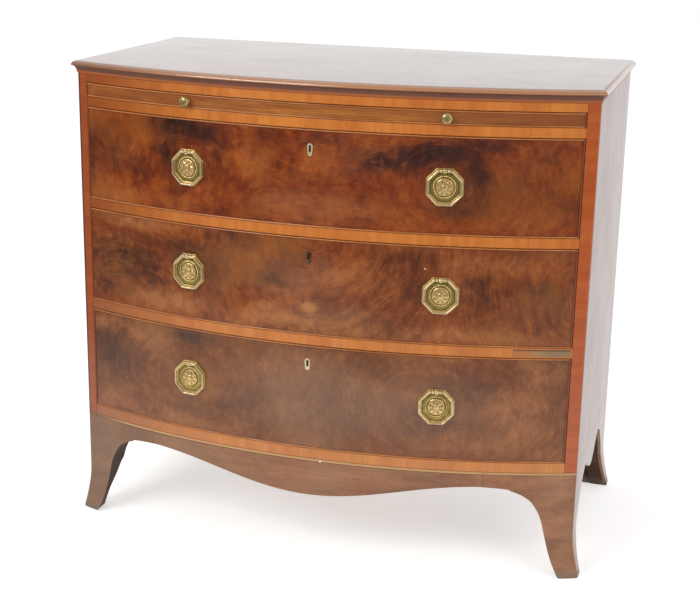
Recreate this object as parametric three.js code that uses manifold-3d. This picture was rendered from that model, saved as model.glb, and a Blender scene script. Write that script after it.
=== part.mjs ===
// Bow front chest of drawers: a brushing slide over three long drawers, on splayed bracket feet.
// Lengths are millimetres. X runs across the front, Y from front to back and Z up.
// The corners of the bowed front lie on y = 0 while the pieces are made, and the whole chest is
// then moved so that the middle of its footprint stands on the origin.
import * as THREE from 'three';
import { mergeVertices } from 'three/addons/utils/BufferGeometryUtils.js';
import Module from 'manifold-3d';

const wasm = await Module();
wasm.setup();

// Case
const caseWidth = 900;
const caseDepth = 436; // at the two ends, without the bow
const bowRise = 85;
const sideThickness = 20;
const cornerRound = 4;
const topThickness = 21;
const topOverhang = 9;
const bottomThickness = 20.5;
const plinthHeight = 190;
const backThickness = 10;
const backRebate = 10; // how far the back panel is let into each side

// Rails, and the openings between them
const topRailHeight = 15;
const slideOpening = 24;
const slideRailHeight = 17;
const drawerRailHeight = 17.5;
const upperOpening = 161;
const middleOpening = 167;
const lowerOpening = 184.5;
const railDepth = 60; // behind the line through the front corners
const railHousing = 8;
const housingSetBack = 12;
const dustboardThickness = 10;
const dustboardGroove = 6;
const kickerWidth = 30;

// Feet and aprons
const bracketThickness = 16;
const frontWing = 150;
const sideWing = 125;
const backWing = 110;
const toeWidth = 18;
const backToeWidth = 36;
const sideFlare = 15;
const frontFlare = 9;
const flareHeight = 80;
const apronHeight = 25; // of the front apron at its ends
const apronDrop = 40; // of its middle below its ends
const sideApronDrop = 34;
const blockWidth = 42;

// Brushing slide and its knobs
const slideBackSpace = 56; // behind it, in front of the back panel
const knobSpacing = 438;
const knobRadius = 9;
const knobLength = 16;
const knobShankRadius = 2.5;
const knobShankLength = 14;

// Drawers
const frontThickness = 22;
const frontLap = 6;
const beadWidth = 2.6;
const beadProud = 1.3;
const drawerSideThickness = 9;
const drawerSideDrop = 3;
const drawerBackThickness = 9;
const drawerBackDrop = 8;
const drawerBottomThickness = 7;
const drawerBottomRise = 6;
const drawerSideGroove = 4;
const drawerFrontGroove = 5;
const drawerBackSpace = 29; // behind each drawer, in front of the back panel

// Locks and escutcheons
const lockWidth = 50;
const lockHeight = 42;
const lockThickness = 8;
const boltWidth = 14;
const boltThickness = 4;
const boltHeight = 24;
const mortiseDepth = 9;
const keyholeDrop = 28;
const keyholeRadius = 2.1;
const keyholeSlot = 2.4;
const keyholeLength = 9;
const escutcheonRadius = 5;
const escutcheonFoot = 3.6;
const escutcheonLength = 11.5; // between the centres of its two round ends
const escutcheonThickness = 2;
const escutcheonProud = 0.5;

// Ring handles
const handleSpacing = 438;
const upperHandleRise = -1.5; // of the plate's centre above the middle of the drawer
const middleHandleRise = 1;
const lowerHandleRise = 3;
const plateApothem = 30.5;
const plateDome = 5.6;
const postRise = 26.5; // above the centre of the plate
const postRadius = 4;
const postLength = 9.5;
const shankRadius = 2.5;
const shankProud = 4;
const ringApothem = 27;
const ringWire = 2.2;
const ringStandoff = 5.6;
const pinRadius = 1.2;
const pinReach = 2.4; // of each pin's tip from the middle of the post

// Clearances
const seatGap = 0.3; // between pieces that touch
const runGap = 0.8; // beside and above what slides
const boltGap = 1; // round a shot bolt
const overrun = 5; // how far a cutting body passes its work

// Fineness of round shapes
const bowSteps = 24;
const wingSteps = 4;
const roundSides = 12;
const wireSides = 8;

// Levels, from the underside of the case up
const caseBottom = plinthHeight;
const archHeight = caseBottom - apronHeight;
const lowerFloor = caseBottom + bottomThickness;
const lowerCeiling = lowerFloor + lowerOpening;
const middleFloor = lowerCeiling + drawerRailHeight;
const middleCeiling = middleFloor + middleOpening;
const upperFloor = middleCeiling + drawerRailHeight;
const upperCeiling = upperFloor + upperOpening;
const slideFloor = upperCeiling + slideRailHeight;
const slideCeiling = slideFloor + slideOpening;
const caseTop = slideCeiling + topRailHeight;
const chestTop = caseTop + topThickness;

// Places in plan
const halfWidth = caseWidth / 2;
const insideHalf = halfWidth - sideThickness;
const slidingHalf = insideHalf - runGap;
const backFace = caseDepth - backThickness; // the back panel's inner face
const bowRadius = (halfWidth ** 2 + bowRise ** 2) / (2 * bowRise);
const bowCentre = bowRadius - bowRise;

// Colours
const finishes = {
  mahogany: { color: 0x7a3a1e, roughness: 0.35, metalness: 0 },
  banding: { color: 0xb4622c, roughness: 0.35, metalness: 0 },
  topWood: { color: 0x8a5a42, roughness: 0.3, metalness: 0 },
  pine: { color: 0xa97f52, roughness: 0.8, metalness: 0 },
  oak: { color: 0x9a7144, roughness: 0.7, metalness: 0 },
  brass: { color: 0xb8a060, roughness: 0.35, metalness: 0.9 },
  iron: { color: 0x4b4a48, roughness: 0.55, metalness: 0.8 },
};

// The front face at x, moved out by so much along the bow's radius
function bowY(x, out = 0) {
  return bowCentre - Math.sqrt((bowRadius + out) ** 2 - x ** 2);
}

function bowPoints(from, to, out, steps) {
  const points = [];
  for (let i = 0; i <= steps; i++) {
    const x = from + ((to - from) * i) / steps;
    points.push(new THREE.Vector2(x, bowY(x, out)));
  }
  return points;
}

// Three points that round a corner off, from a point before it to a point after it
function roundedCorner(before, corner, after) {
  const middle = new THREE.QuadraticBezierCurve(before, corner, after).getPoint(0.5);
  return [before, middle, after];
}

// A closed body under an outline in plan, from one height up to another
function planSolid(points, low, high) {
  const shape = new THREE.Shape(points);
  const geometry = new THREE.ExtrudeGeometry(shape, { depth: high - low, bevelEnabled: false });
  return geometry.translate(0, 0, low);
}

// An outline in the front view, its points' y counted as height, from one depth to another
function frontSolid(points, near, far) {
  const shape = new THREE.Shape(points);
  const geometry = new THREE.ExtrudeGeometry(shape, { depth: far - near, bevelEnabled: false });
  return geometry.rotateX(Math.PI / 2).translate(0, far, 0);
}

function boxSolid(x, y, z) {
  const size = [x, y, z].map(([low, high]) => high - low);
  const middle = [x, y, z].map(([low, high]) => (low + high) / 2);
  return new THREE.BoxGeometry(...size).translate(...middle);
}

// A ring's own triangles, turned the way the ring runs
function capTriangles(ring, flatten) {
  const outline = ring.map(flatten);
  const turn = Math.sign(THREE.ShapeUtils.area(outline));
  return THREE.ShapeUtils.triangulateShape(outline, []).map(([a, b, c]) => {
    const area = THREE.ShapeUtils.area([outline[a], outline[b], outline[c]]);
    return Math.sign(area) === turn ? [a, b, c] : [c, b, a];
  });
}

// Turns every triangle round when the body's faces point in
function faceOut(geometry) {
  const { position } = geometry.attributes;
  const corners = [0, 1, 2].map(() => new THREE.Vector3());
  const index = Array.from(geometry.index.array);
  let volume = 0;
  for (let i = 0; i < index.length; i += 3) {
    corners.forEach((corner, k) => corner.fromBufferAttribute(position, index[i + k]));
    volume += corners[0].dot(corners[1].clone().cross(corners[2]));
  }
  geometry.setIndex(volume < 0 ? index.reverse() : index);
  return geometry;
}

// A closed body through a row of rings that have the same number of points
function skin(rings, flatten) {
  const count = rings[0].length;
  const last = (rings.length - 1) * count;
  const index = [];
  for (let start = 0; start < last; start += count) {
    for (let i = 0; i < count; i++) {
      const a = start + i;
      const b = start + ((i + 1) % count);
      index.push(a, b, b + count, a, b + count, a + count);
    }
  }
  for (const [a, b, c] of capTriangles(rings[0], flatten)) {
    index.push(c, b, a);
  }
  for (const [a, b, c] of capTriangles(rings[rings.length - 1], flatten)) {
    index.push(last + a, last + b, last + c);
  }
  const geometry = new THREE.BufferGeometry().setFromPoints(rings.flat());
  geometry.setIndex(index);
  return faceOut(geometry);
}

function inPlan(point) {
  return new THREE.Vector2(point.x, point.y);
}

function inSection(point) {
  return new THREE.Vector2(point.y, point.z);
}

// The same body on the other side of the chest
function mirrored(geometry) {
  const copy = geometry.clone().scale(-1, 1, 1);
  if (!copy.index) {
    copy.setIndex(Array.from({ length: copy.attributes.position.count }, (_, i) => i));
  }
  return faceOut(copy);
}

function toManifold(geometry) {
  const bare = geometry.clone();
  bare.deleteAttribute('normal');
  bare.deleteAttribute('uv');
  const merged = mergeVertices(bare);
  const vertProperties = new Float32Array(merged.attributes.position.array);
  const triVerts = new Uint32Array(merged.index.array);
  return new wasm.Manifold(new wasm.Mesh({ numProp: 3, vertProperties, triVerts }));
}

function toGeometry(solid) {
  const { vertProperties, triVerts } = solid.getMesh();
  const geometry = new THREE.BufferGeometry();
  geometry.setAttribute('position', new THREE.BufferAttribute(vertProperties, 3));
  geometry.setIndex(new THREE.BufferAttribute(triVerts, 1));
  return geometry;
}

function cut(geometry, tools) {
  const solid = tools.reduce((rest, tool) => rest.subtract(toManifold(tool)), toManifold(geometry));
  return toGeometry(solid);
}

function join(geometry, others) {
  const solid = others.reduce((whole, other) => whole.add(toManifold(other)), toManifold(geometry));
  return toGeometry(solid);
}

function piece(name, geometry, finish) {
  const mesh = new THREE.Mesh(geometry, new THREE.MeshStandardMaterial(finishes[finish]));
  mesh.name = name;
  return mesh;
}

// Turns and moves a tool that was made at the origin onto the bowed front at x and z
function ontoBow(geometry, x, z) {
  return geometry.rotateZ(Math.asin(x / bowRadius)).translate(x, bowY(x), z);
}

// The moulded edge of the top, as shares of the overhang and of the thickness: a cove, a fillet
// and a quarter round that leaves the upper face a little smaller
const topMouldShares = [
  [0.08, 0],
  [0.15, 0.23],
  [0.35, 0.42],
  [0.65, 0.545],
  [1, 0.59],
  [1, 0.63],
  [0.84, 0.815],
  [0.4, 0.95],
  [-0.2, 1],
];

function topBoard() {
  const low = caseTop + seatGap;
  const rings = topMouldShares.map(([outShare, heightShare]) => {
    const out = outShare * topOverhang;
    const half = halfWidth + out;
    const outline = bowPoints(-half, half, out, bowSteps);
    outline.push(new THREE.Vector2(half, caseDepth), new THREE.Vector2(-half, caseDepth));
    const z = low + heightShare * (chestTop - low);
    return outline.map((point) => new THREE.Vector3(point.x, point.y, z));
  });
  return piece('top_board', skin(rings, inPlan), 'topWood');
}

// Rails: the bowed front edge between the sides, and ends let into the sides behind it
function railOutline(grow, back = railDepth) {
  const frontHalf = insideHalf - seatGap;
  const housedHalf = insideHalf + railHousing + grow;
  const shoulder = bowY(insideHalf) + housingSetBack - grow;
  const outline = bowPoints(-frontHalf, frontHalf, 0, bowSteps);
  outline.push(
    new THREE.Vector2(frontHalf, shoulder),
    new THREE.Vector2(housedHalf, shoulder),
    new THREE.Vector2(housedHalf, back + grow),
    new THREE.Vector2(-housedHalf, back + grow),
    new THREE.Vector2(-housedHalf, shoulder),
    new THREE.Vector2(-frontHalf, shoulder),
  );
  return outline;
}

function boltPlace() {
  return bowY(0) + frontThickness - lockThickness / 2;
}

// The pocket in a rail that takes the bolt of the drawer below
function boltMortise(ceiling) {
  const halfBolt = boltWidth / 2 + boltGap;
  const halfThickness = boltThickness / 2 + boltGap;
  return boxSolid(
    [-halfBolt, halfBolt],
    [boltPlace() - halfThickness, boltPlace() + halfThickness],
    [ceiling - overrun, ceiling + mortiseDepth],
  );
}

const rails = [
  { name: 'top_rail', low: slideCeiling, high: caseTop, overDrawer: false },
  { name: 'slide_rail', low: upperCeiling, high: slideFloor, overDrawer: true },
  { name: 'drawer_rail_upper', low: middleCeiling, high: upperFloor, overDrawer: true },
  { name: 'drawer_rail_lower', low: lowerCeiling, high: middleFloor, overDrawer: true },
];

function rail({ name, low, high, overDrawer }) {
  const whole = planSolid(railOutline(0), low, high);
  return piece(name, overDrawer ? cut(whole, [boltMortise(low)]) : whole, 'banding');
}

// The bottom board reaches from the bowed front to the back panel
function bottomOutline(grow) {
  return railOutline(grow, backFace - seatGap);
}

function bottomBoard() {
  return piece('bottom_board', planSolid(bottomOutline(0), caseBottom + seatGap, lowerFloor), 'banding');
}

// Dustboards close the case off between the drawers, level with the tops of the rails
const dustboards = [
  { name: 'dustboard_slide', high: slideFloor },
  { name: 'dustboard_upper', high: upperFloor },
  { name: 'dustboard_lower', high: middleFloor },
];

function dustboardBox(high, grow) {
  const half = insideHalf + dustboardGroove + grow;
  return boxSolid(
    [-half, half],
    [railDepth + seatGap - grow, backFace - seatGap + grow],
    [high - dustboardThickness - grow, high + grow],
  );
}

// Sides: solid ends with a bowed front edge, housings for the boards and a rebate for the back
function sidePanel() {
  const front = halfWidth - cornerRound;
  const corner = roundedCorner(
    new THREE.Vector2(front, bowY(front)),
    new THREE.Vector2(halfWidth, bowY(halfWidth)),
    new THREE.Vector2(halfWidth, bowY(halfWidth) + cornerRound),
  );
  const outline = [
    new THREE.Vector2(insideHalf, bowY(insideHalf)),
    ...corner,
    new THREE.Vector2(halfWidth, caseDepth),
    new THREE.Vector2(insideHalf, caseDepth),
  ];
  const panel = planSolid(outline, caseBottom + seatGap, caseTop);
  const rebate = boxSolid(
    [insideHalf - overrun, insideHalf + backRebate],
    [backFace - seatGap, caseDepth + overrun],
    [caseBottom - overrun, caseTop + overrun],
  );
  const housings = rails.map(({ low, high }) => {
    return planSolid(railOutline(seatGap), low - seatGap, high + seatGap);
  });
  const bottomHousing = planSolid(bottomOutline(seatGap), caseBottom - overrun, lowerFloor + seatGap);
  const grooves = dustboards.map(({ high }) => dustboardBox(high, seatGap));
  return cut(panel, [rebate, bottomHousing, ...housings, ...grooves]);
}

function backPanel() {
  const half = insideHalf + backRebate - seatGap;
  const panel = boxSolid([-half, half], [backFace, caseDepth], [caseBottom + seatGap, caseTop]);
  return piece('back_panel', panel, 'pine');
}

// Kickers hold the slide down from above, one along each side
function kicker() {
  const outer = insideHalf - seatGap;
  return boxSolid(
    [outer - kickerWidth, outer],
    [railDepth + seatGap, backFace - seatGap],
    [slideCeiling, caseTop],
  );
}

// The inner edges of a bracket foot's wings from toe to arch. At a share of the arch's height,
// how far each wing reaches beyond the toe, as a share of its length there: the swept edge of
// the wing along the front, the straighter one of the wing along the side.
const legShares = [
  { height: 0, front: 0, side: 0 },
  { height: 0.1, front: 0.062, side: 0.04 },
  { height: 0.22, front: 0.124, side: 0.1 },
  { height: 0.37, front: 0.18, side: 0.19 },
  { height: 0.53, front: 0.231, side: 0.28 },
  { height: 0.67, front: 0.276, side: 0.43 },
  { height: 0.78, front: 0.342, side: 0.58 },
  { height: 0.89, front: 0.462, side: 0.76 },
  { height: 0.957, front: 0.635, side: 1 },
  { height: 0.99, front: 0.8, side: 1 },
  { height: 1, front: 1, side: 1 },
];
const sideArchShare = legShares.find(({ side }) => side === 1).height;
const flarePower = 1.5;
const blockShare = 0.92;

// How far a wing's outer face has swept out at a height
function flareAt(z, flare) {
  return flare * Math.max(0, 1 - z / flareHeight) ** flarePower;
}

// One level of a right-hand foot, with the corner of the case at (halfWidth, 0). face gives the
// nominal outer face of the wing that runs along X, out is that wing's flare and side that of
// the other wing. A glued block fills the corner between the wings.
function footRing({ z, reach, sideReach, face, out, side, round }) {
  const innerX = halfWidth - bracketThickness;
  const room = Math.min(sideReach, reach) - bracketThickness;
  const block = bracketThickness + Math.min(room * blockShare, blockWidth);
  const cornerX = halfWidth + side;
  const cornerY = face(cornerX) - out;
  const wingEnd = halfWidth - reach;
  const ring = [];
  for (let i = 0; i < wingSteps; i++) {
    const x = wingEnd + ((cornerX - round - wingEnd) * i) / wingSteps;
    ring.push(new THREE.Vector2(x, face(x) - out));
  }
  const corner = new THREE.Vector2(cornerX, cornerY);
  const before = new THREE.Vector2(cornerX - round, face(cornerX - round) - out);
  const after = new THREE.Vector2(cornerX, cornerY + round);
  ring.push(...(round ? roundedCorner(before, corner, after) : [corner]));
  ring.push(
    new THREE.Vector2(cornerX, sideReach),
    new THREE.Vector2(innerX, sideReach),
    new THREE.Vector2(innerX, block),
    new THREE.Vector2(halfWidth - block, block),
  );
  for (let i = 0; i <= wingSteps; i++) {
    const x = halfWidth - block + ((wingEnd - halfWidth + block) * i) / wingSteps;
    ring.push(new THREE.Vector2(x, face(x) + bracketThickness));
  }
  return ring.map((point) => new THREE.Vector3(point.x, point.y, z));
}

function foot({ reachAt, face, flare, round }) {
  const levels = legShares.map((shares) => ({
    z: shares.height * archHeight,
    reach: reachAt(shares),
    sideReach: toeWidth + shares.side * (sideWing - toeWidth),
  }));
  levels.push({ ...levels[levels.length - 1], z: caseBottom });
  const rings = levels.map((level) => {
    const out = flareAt(level.z, flare);
    return footRing({ ...level, face, out, side: flareAt(level.z, sideFlare), round });
  });
  return skin(rings, inPlan);
}

function frontFoot() {
  const reachAt = ({ front }) => toeWidth + front * (frontWing - toeWidth);
  return foot({ reachAt, face: (x) => bowY(x), flare: frontFlare, round: cornerRound });
}

// The back feet stand flush with the back, so they sweep out sideways only, and the inner edge
// of the wing along the back is straight
function backFoot() {
  const reachAt = ({ height }) => backToeWidth + height * (backWing - backToeWidth);
  const flat = foot({ reachAt, face: () => 0, flare: 0, round: 0 });
  return faceOut(flat.scale(1, -1, 1).translate(0, caseDepth, 0));
}

// The lower edge of an apron that drops from its ends' height, at a share of the way from its
// middle to its end
function apronEdge(share, ends, drop) {
  return ends - (drop * (1 + Math.cos(Math.PI * share))) / 2;
}

function frontApron() {
  const half = halfWidth - frontWing - seatGap;
  const rings = [];
  for (let i = 0; i <= bowSteps; i++) {
    const share = (2 * i) / bowSteps - 1;
    const x = share * half;
    const front = bowY(x);
    const back = front + bracketThickness;
    const low = apronEdge(share, archHeight, apronDrop);
    rings.push([
      new THREE.Vector3(x, front, low),
      new THREE.Vector3(x, front, caseBottom),
      new THREE.Vector3(x, back, caseBottom),
      new THREE.Vector3(x, back, low),
    ]);
  }
  return piece('front_apron', skin(rings, inSection), 'mahogany');
}

function sideApron() {
  const middle = caseDepth / 2;
  const half = middle - sideWing - seatGap;
  const steps = bowSteps / 2;
  const outline = [
    new THREE.Vector2(middle + half, caseBottom),
    new THREE.Vector2(middle - half, caseBottom),
  ];
  for (let i = 0; i <= steps; i++) {
    const share = (2 * i) / steps - 1;
    const z = apronEdge(share, archHeight * sideArchShare, sideApronDrop);
    outline.push(new THREE.Vector2(middle + share * half, z));
  }
  const shape = new THREE.Shape(outline);
  const geometry = new THREE.ExtrudeGeometry(shape, { depth: bracketThickness, bevelEnabled: false });
  return geometry.rotateX(Math.PI / 2).rotateZ(Math.PI / 2).translate(halfWidth - bracketThickness, 0, 0);
}

function bothSides(name, geometry, finish) {
  return [piece(`${name}_right`, geometry, finish), piece(`${name}_left`, mirrored(geometry), finish)];
}

function carcase() {
  const group = new THREE.Group();
  group.add(topBoard(), bottomBoard(), backPanel(), frontApron());
  group.add(...rails.map(rail));
  group.add(...dustboards.map(({ name, high }) => piece(name, dustboardBox(high, 0), 'pine')));
  group.add(...bothSides('side', sidePanel(), 'mahogany'));
  group.add(...bothSides('kicker', kicker(), 'pine'));
  group.add(...bothSides('side_apron', sideApron(), 'mahogany'));
  group.add(...bothSides('front_foot', frontFoot(), 'mahogany'));
  group.add(...bothSides('back_foot', backFoot(), 'mahogany'));
  return group;
}

// A mushroom knob on its shank, as shares of its radius and of its length
const knobShares = [
  [0.55, 0],
  [0.55, 0.1],
  [0.36, 0.18],
  [0.33, 0.42],
  [0.8, 0.52],
  [1, 0.66],
  [0.86, 0.86],
  [0.5, 0.97],
];

function knob() {
  const profile = [
    new THREE.Vector2(0, -knobShankLength),
    new THREE.Vector2(knobShankRadius, -knobShankLength),
    new THREE.Vector2(knobShankRadius, seatGap),
  ];
  for (const [radiusShare, lengthShare] of knobShares) {
    profile.push(new THREE.Vector2(radiusShare * knobRadius, seatGap + lengthShare * knobLength));
  }
  profile.push(new THREE.Vector2(0, seatGap + knobLength));
  return new THREE.LatheGeometry(profile, roundSides).rotateX(Math.PI);
}

// The brushing slide is one board with a bowed front edge, beaded like the drawers
function slideBoard(low, high) {
  const outline = bowPoints(-slidingHalf, slidingHalf, beadProud, bowSteps);
  const back = backFace - slideBackSpace;
  outline.push(new THREE.Vector2(slidingHalf, back), new THREE.Vector2(-slidingHalf, back));
  const whole = planSolid(outline, low, high);
  const middle = (low + high) / 2;
  const bores = [-1, 1].map((way) => {
    const radius = knobShankRadius + seatGap;
    const bore = new THREE.CylinderGeometry(radius, radius, 2 * knobShankLength + 2 * seatGap, roundSides);
    return ontoBow(bore, (way * knobSpacing) / 2, middle);
  });
  return cut(whole, [beadRecess(low, high), ...bores]);
}

function brushingSlide() {
  const group = new THREE.Group();
  const low = slideFloor + seatGap;
  const high = slideCeiling - runGap;
  group.add(piece('slide_board', slideBoard(low, high), 'mahogany'));
  for (const [word, way] of [['left', -1], ['right', 1]]) {
    const x = (way * knobSpacing) / 2;
    group.add(piece(`slide_knob_${word}`, ontoBow(knob(), x, (low + high) / 2), 'brass'));
  }
  return group;
}

// Takes the field of a front back to the case's face, so that a bead stands round its edge
function beadRecess(low, high) {
  const half = slidingHalf - beadWidth;
  const outline = bowPoints(-half, half, 0, bowSteps);
  outline.push(...bowPoints(half, -half, beadProud + overrun, bowSteps));
  return planSolid(outline, low + beadWidth, high - beadWidth);
}

// The outline of a drawer's front: its ends are rebated, so the sides stop behind a lap
function frontOutline() {
  const half = slidingHalf;
  const notch = half - drawerSideThickness - seatGap;
  return [
    ...bowPoints(-half, half, beadProud, bowSteps),
    ...bowPoints(half, notch, -frontLap, 1),
    ...bowPoints(notch, -notch, -frontThickness, bowSteps),
    ...bowPoints(-notch, -half, -frontLap, 1),
  ];
}

function drawerBottomOutline(grow) {
  const half = slidingHalf - drawerSideThickness + drawerSideGroove - seatGap + grow;
  const outline = bowPoints(-half, half, drawerFrontGroove - frontThickness - seatGap + grow, bowSteps);
  const back = drawerBack();
  outline.push(new THREE.Vector2(half, back + grow), new THREE.Vector2(-half, back + grow));
  return outline;
}

function drawerBack() {
  return backFace - drawerBackSpace;
}

// A keyhole: a round eye over a narrower slot
function keyholeOutline(z) {
  const side = keyholeSlot / 2;
  const meet = Math.asin(side / keyholeRadius);
  const outline = [new THREE.Vector2(-side, z - keyholeLength), new THREE.Vector2(side, z - keyholeLength)];
  for (let i = 0; i <= roundSides; i++) {
    const angle = -Math.PI / 2 + meet + ((2 * Math.PI - 2 * meet) * i) / roundSides;
    outline.push(new THREE.Vector2(keyholeRadius * Math.cos(angle), z + keyholeRadius * Math.sin(angle)));
  }
  return outline;
}

// The escutcheon: a wide round head over a narrower round foot, joined by straight sides
function escutcheonOutline(z, grow) {
  const outline = [];
  const steps = roundSides / 2;
  for (const [radius, centre, start] of [
    [escutcheonRadius + grow, z, 0],
    [escutcheonFoot + grow, z - escutcheonLength, Math.PI],
  ]) {
    for (let i = 0; i <= steps; i++) {
      const angle = start + (Math.PI * i) / steps;
      outline.push(new THREE.Vector2(radius * Math.cos(angle), centre + radius * Math.sin(angle)));
    }
  }
  return outline;
}

function drawerFront(low, high, handleZ) {
  const face = bowY(0);
  const inner = face + frontThickness;
  const keyZ = high - keyholeDrop;
  const pocketHalf = lockWidth / 2 + seatGap;
  const lockPocket = boxSolid(
    [-pocketHalf, pocketHalf],
    [inner - lockThickness - seatGap, inner + overrun],
    [high - lockHeight - seatGap, high + overrun],
  );
  const keyhole = frontSolid(keyholeOutline(keyZ), face - overrun, inner);
  const inlayFloor = face + escutcheonThickness + seatGap;
  const inlay = frontSolid(escutcheonOutline(keyZ, seatGap), face - overrun, inlayFloor);
  const bores = [-1, 1].map((way) => {
    const radius = shankRadius + seatGap;
    const bore = new THREE.CylinderGeometry(radius, radius, 2 * frontThickness + 2 * overrun, roundSides);
    return ontoBow(bore, (way * handleSpacing) / 2, handleZ + postRise);
  });
  const groove = drawerBottomSolid(seatGap);
  return cut(planSolid(frontOutline(), low, high), [
    beadRecess(low, high),
    lockPocket,
    keyhole,
    inlay,
    groove,
    ...bores,
  ]);
}

function drawerBottomSolid(grow) {
  const low = seatGap + drawerBottomRise;
  return planSolid(drawerBottomOutline(grow), low - grow, low + drawerBottomThickness + grow);
}

function drawerSide(low, high) {
  const inner = slidingHalf - drawerSideThickness;
  const outline = [
    ...bowPoints(inner, slidingHalf, -frontLap - seatGap, 1),
    new THREE.Vector2(slidingHalf, drawerBack()),
    new THREE.Vector2(inner, drawerBack()),
  ];
  return cut(planSolid(outline, low, high), [drawerBottomSolid(seatGap)]);
}

// A lock let into the back of the front, its upper edge level with the front's, and the channel
// that its bolt runs in
function lockCase(high) {
  const inner = bowY(0) + frontThickness;
  const body = boxSolid(
    [-lockWidth / 2, lockWidth / 2],
    [inner - lockThickness, inner],
    [high - lockHeight, high],
  );
  const outer = inner - lockThickness - overrun;
  const keyhole = frontSolid(keyholeOutline(high - keyholeDrop), outer, boltPlace());
  return cut(body, [boltBox(high, seatGap, overrun), keyhole]);
}

function boltBox(high, grow, above) {
  const half = boltWidth / 2 + grow;
  const halfThickness = boltThickness / 2 + grow;
  return boxSolid(
    [-half, half],
    [boltPlace() - halfThickness, boltPlace() + halfThickness],
    [high - boltHeight - grow, high + above],
  );
}

function escutcheon(high) {
  const face = bowY(0);
  const keyZ = high - keyholeDrop;
  const plate = frontSolid(escutcheonOutline(keyZ, 0), face - escutcheonProud, face + escutcheonThickness);
  return cut(plate, [frontSolid(keyholeOutline(keyZ), face - overrun, face + overrun)]);
}

// The stamped plate of a handle, from its border in: whether the ring of points is still the
// octagon, and shares of the plate's apothem and of the dome's height
const plateShares = [
  { octagon: true, radiusShare: 1, heightShare: 0 },
  { octagon: true, radiusShare: 1, heightShare: 0.2 },
  { octagon: true, radiusShare: 0.84, heightShare: 0.3 },
  { octagon: false, radiusShare: 0.75, heightShare: 0.2 },
  { octagon: false, radiusShare: 0.65, heightShare: 0.56 },
  { octagon: false, radiusShare: 0.57, heightShare: 0.32 },
  { octagon: false, radiusShare: 0.45, heightShare: 0.5 },
  { octagon: false, radiusShare: 0.28, heightShare: 0.85 },
  { octagon: false, radiusShare: 0.1, heightShare: 1 },
];
const octagonSides = 8;

// Points round a plate: the octagon's corners and the middles of its sides, or a circle
function plateRing({ octagon, radiusShare, heightShare }) {
  const ring = [];
  const half = Math.PI / octagonSides;
  for (let i = 0; i < 2 * octagonSides; i++) {
    const stretch = octagon && i % 2 ? 1 / Math.cos(half) : 1;
    const radius = radiusShare * plateApothem * stretch;
    const y = -seatGap - heightShare * plateDome;
    ring.push(new THREE.Vector3(radius * Math.cos(i * half), y, radius * Math.sin(i * half)));
  }
  return ring;
}

function inFront(point) {
  return new THREE.Vector2(point.x, point.z);
}

// The plate with the post that carries the ring, bored across for the ring's pins, and the shank
// that fastens the handle through the front
function handlePlate() {
  const plate = skin(plateShares.map(plateRing), inFront);
  const tail = frontThickness + shankProud;
  const post = new THREE.CylinderGeometry(postRadius, postRadius, postLength - seatGap, roundSides);
  post.translate(0, -(postLength + seatGap) / 2, postRise);
  const shank = new THREE.CylinderGeometry(shankRadius, shankRadius, tail + postLength / 2, roundSides);
  shank.translate(0, (tail - postLength / 2) / 2, postRise);
  const boreRadius = pinRadius + seatGap;
  const bore = new THREE.CylinderGeometry(boreRadius, boreRadius, 2 * postRadius + overrun, wireSides);
  bore.rotateZ(Math.PI / 2).translate(0, -ringStandoff, postRise);
  return cut(join(plate, [post, shank]), [bore]);
}

// The ring is an octagon of wire, broken at the top, where its ends step down to pins that turn
// in the post. Its path starts at the pins' axis.
function ringGeometry() {
  const side = ringApothem * Math.tan(Math.PI / octagonSides);
  const shoulder = postRadius + seatGap;
  const path = [
    { x: pinReach, z: 0, radius: pinRadius },
    { x: shoulder, z: 0, radius: pinRadius },
    { x: shoulder, z: 0, radius: ringWire },
  ];
  const cornerRadius = side / Math.sin(Math.PI / octagonSides);
  for (let i = 0; i < octagonSides; i++) {
    const angle = Math.PI / 2 - ((2 * i + 1) * Math.PI) / octagonSides;
    path.push({
      x: cornerRadius * Math.cos(angle),
      z: cornerRadius * Math.sin(angle) - ringApothem,
      radius: ringWire,
    });
  }
  path.push(
    { x: -shoulder, z: 0, radius: ringWire },
    { x: -shoulder, z: 0, radius: pinRadius },
    { x: -pinReach, z: 0, radius: pinRadius },
  );
  const rings = path.map((point, i) => wireSection(point, wayThrough(path, i)));
  return skin(rings, inSection);
}

// The direction square to a path's bend, and how much the bend stretches a section
function wayThrough(path, i) {
  const way = (from, to) => new THREE.Vector2(to.x - from.x, to.z - from.z).normalize();
  const here = path[i];
  const before = path.slice(0, i).reverse().find((point) => point.x !== here.x || point.z !== here.z);
  const after = path.slice(i + 1).find((point) => point.x !== here.x || point.z !== here.z);
  const arriving = before ? way(before, here) : way(here, after);
  const leaving = after ? way(here, after) : arriving;
  const middle = arriving.clone().add(leaving).normalize();
  return { across: new THREE.Vector2(-middle.y, middle.x), stretch: 1 / middle.dot(arriving) };
}

function wireSection({ x, z, radius }, { across, stretch }) {
  const ring = [];
  for (let i = 0; i < wireSides; i++) {
    const angle = ((i + 1 / 2) * 2 * Math.PI) / wireSides;
    const along = radius * stretch * Math.cos(angle);
    ring.push(new THREE.Vector3(x + across.x * along, radius * Math.sin(angle), z + across.y * along));
  }
  return ring;
}

const drawers = [
  { name: 'upper', floor: upperFloor, opening: upperOpening, handleRise: upperHandleRise },
  { name: 'middle', floor: middleFloor, opening: middleOpening, handleRise: middleHandleRise },
  { name: 'lower', floor: lowerFloor, opening: lowerOpening, handleRise: lowerHandleRise },
];

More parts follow.
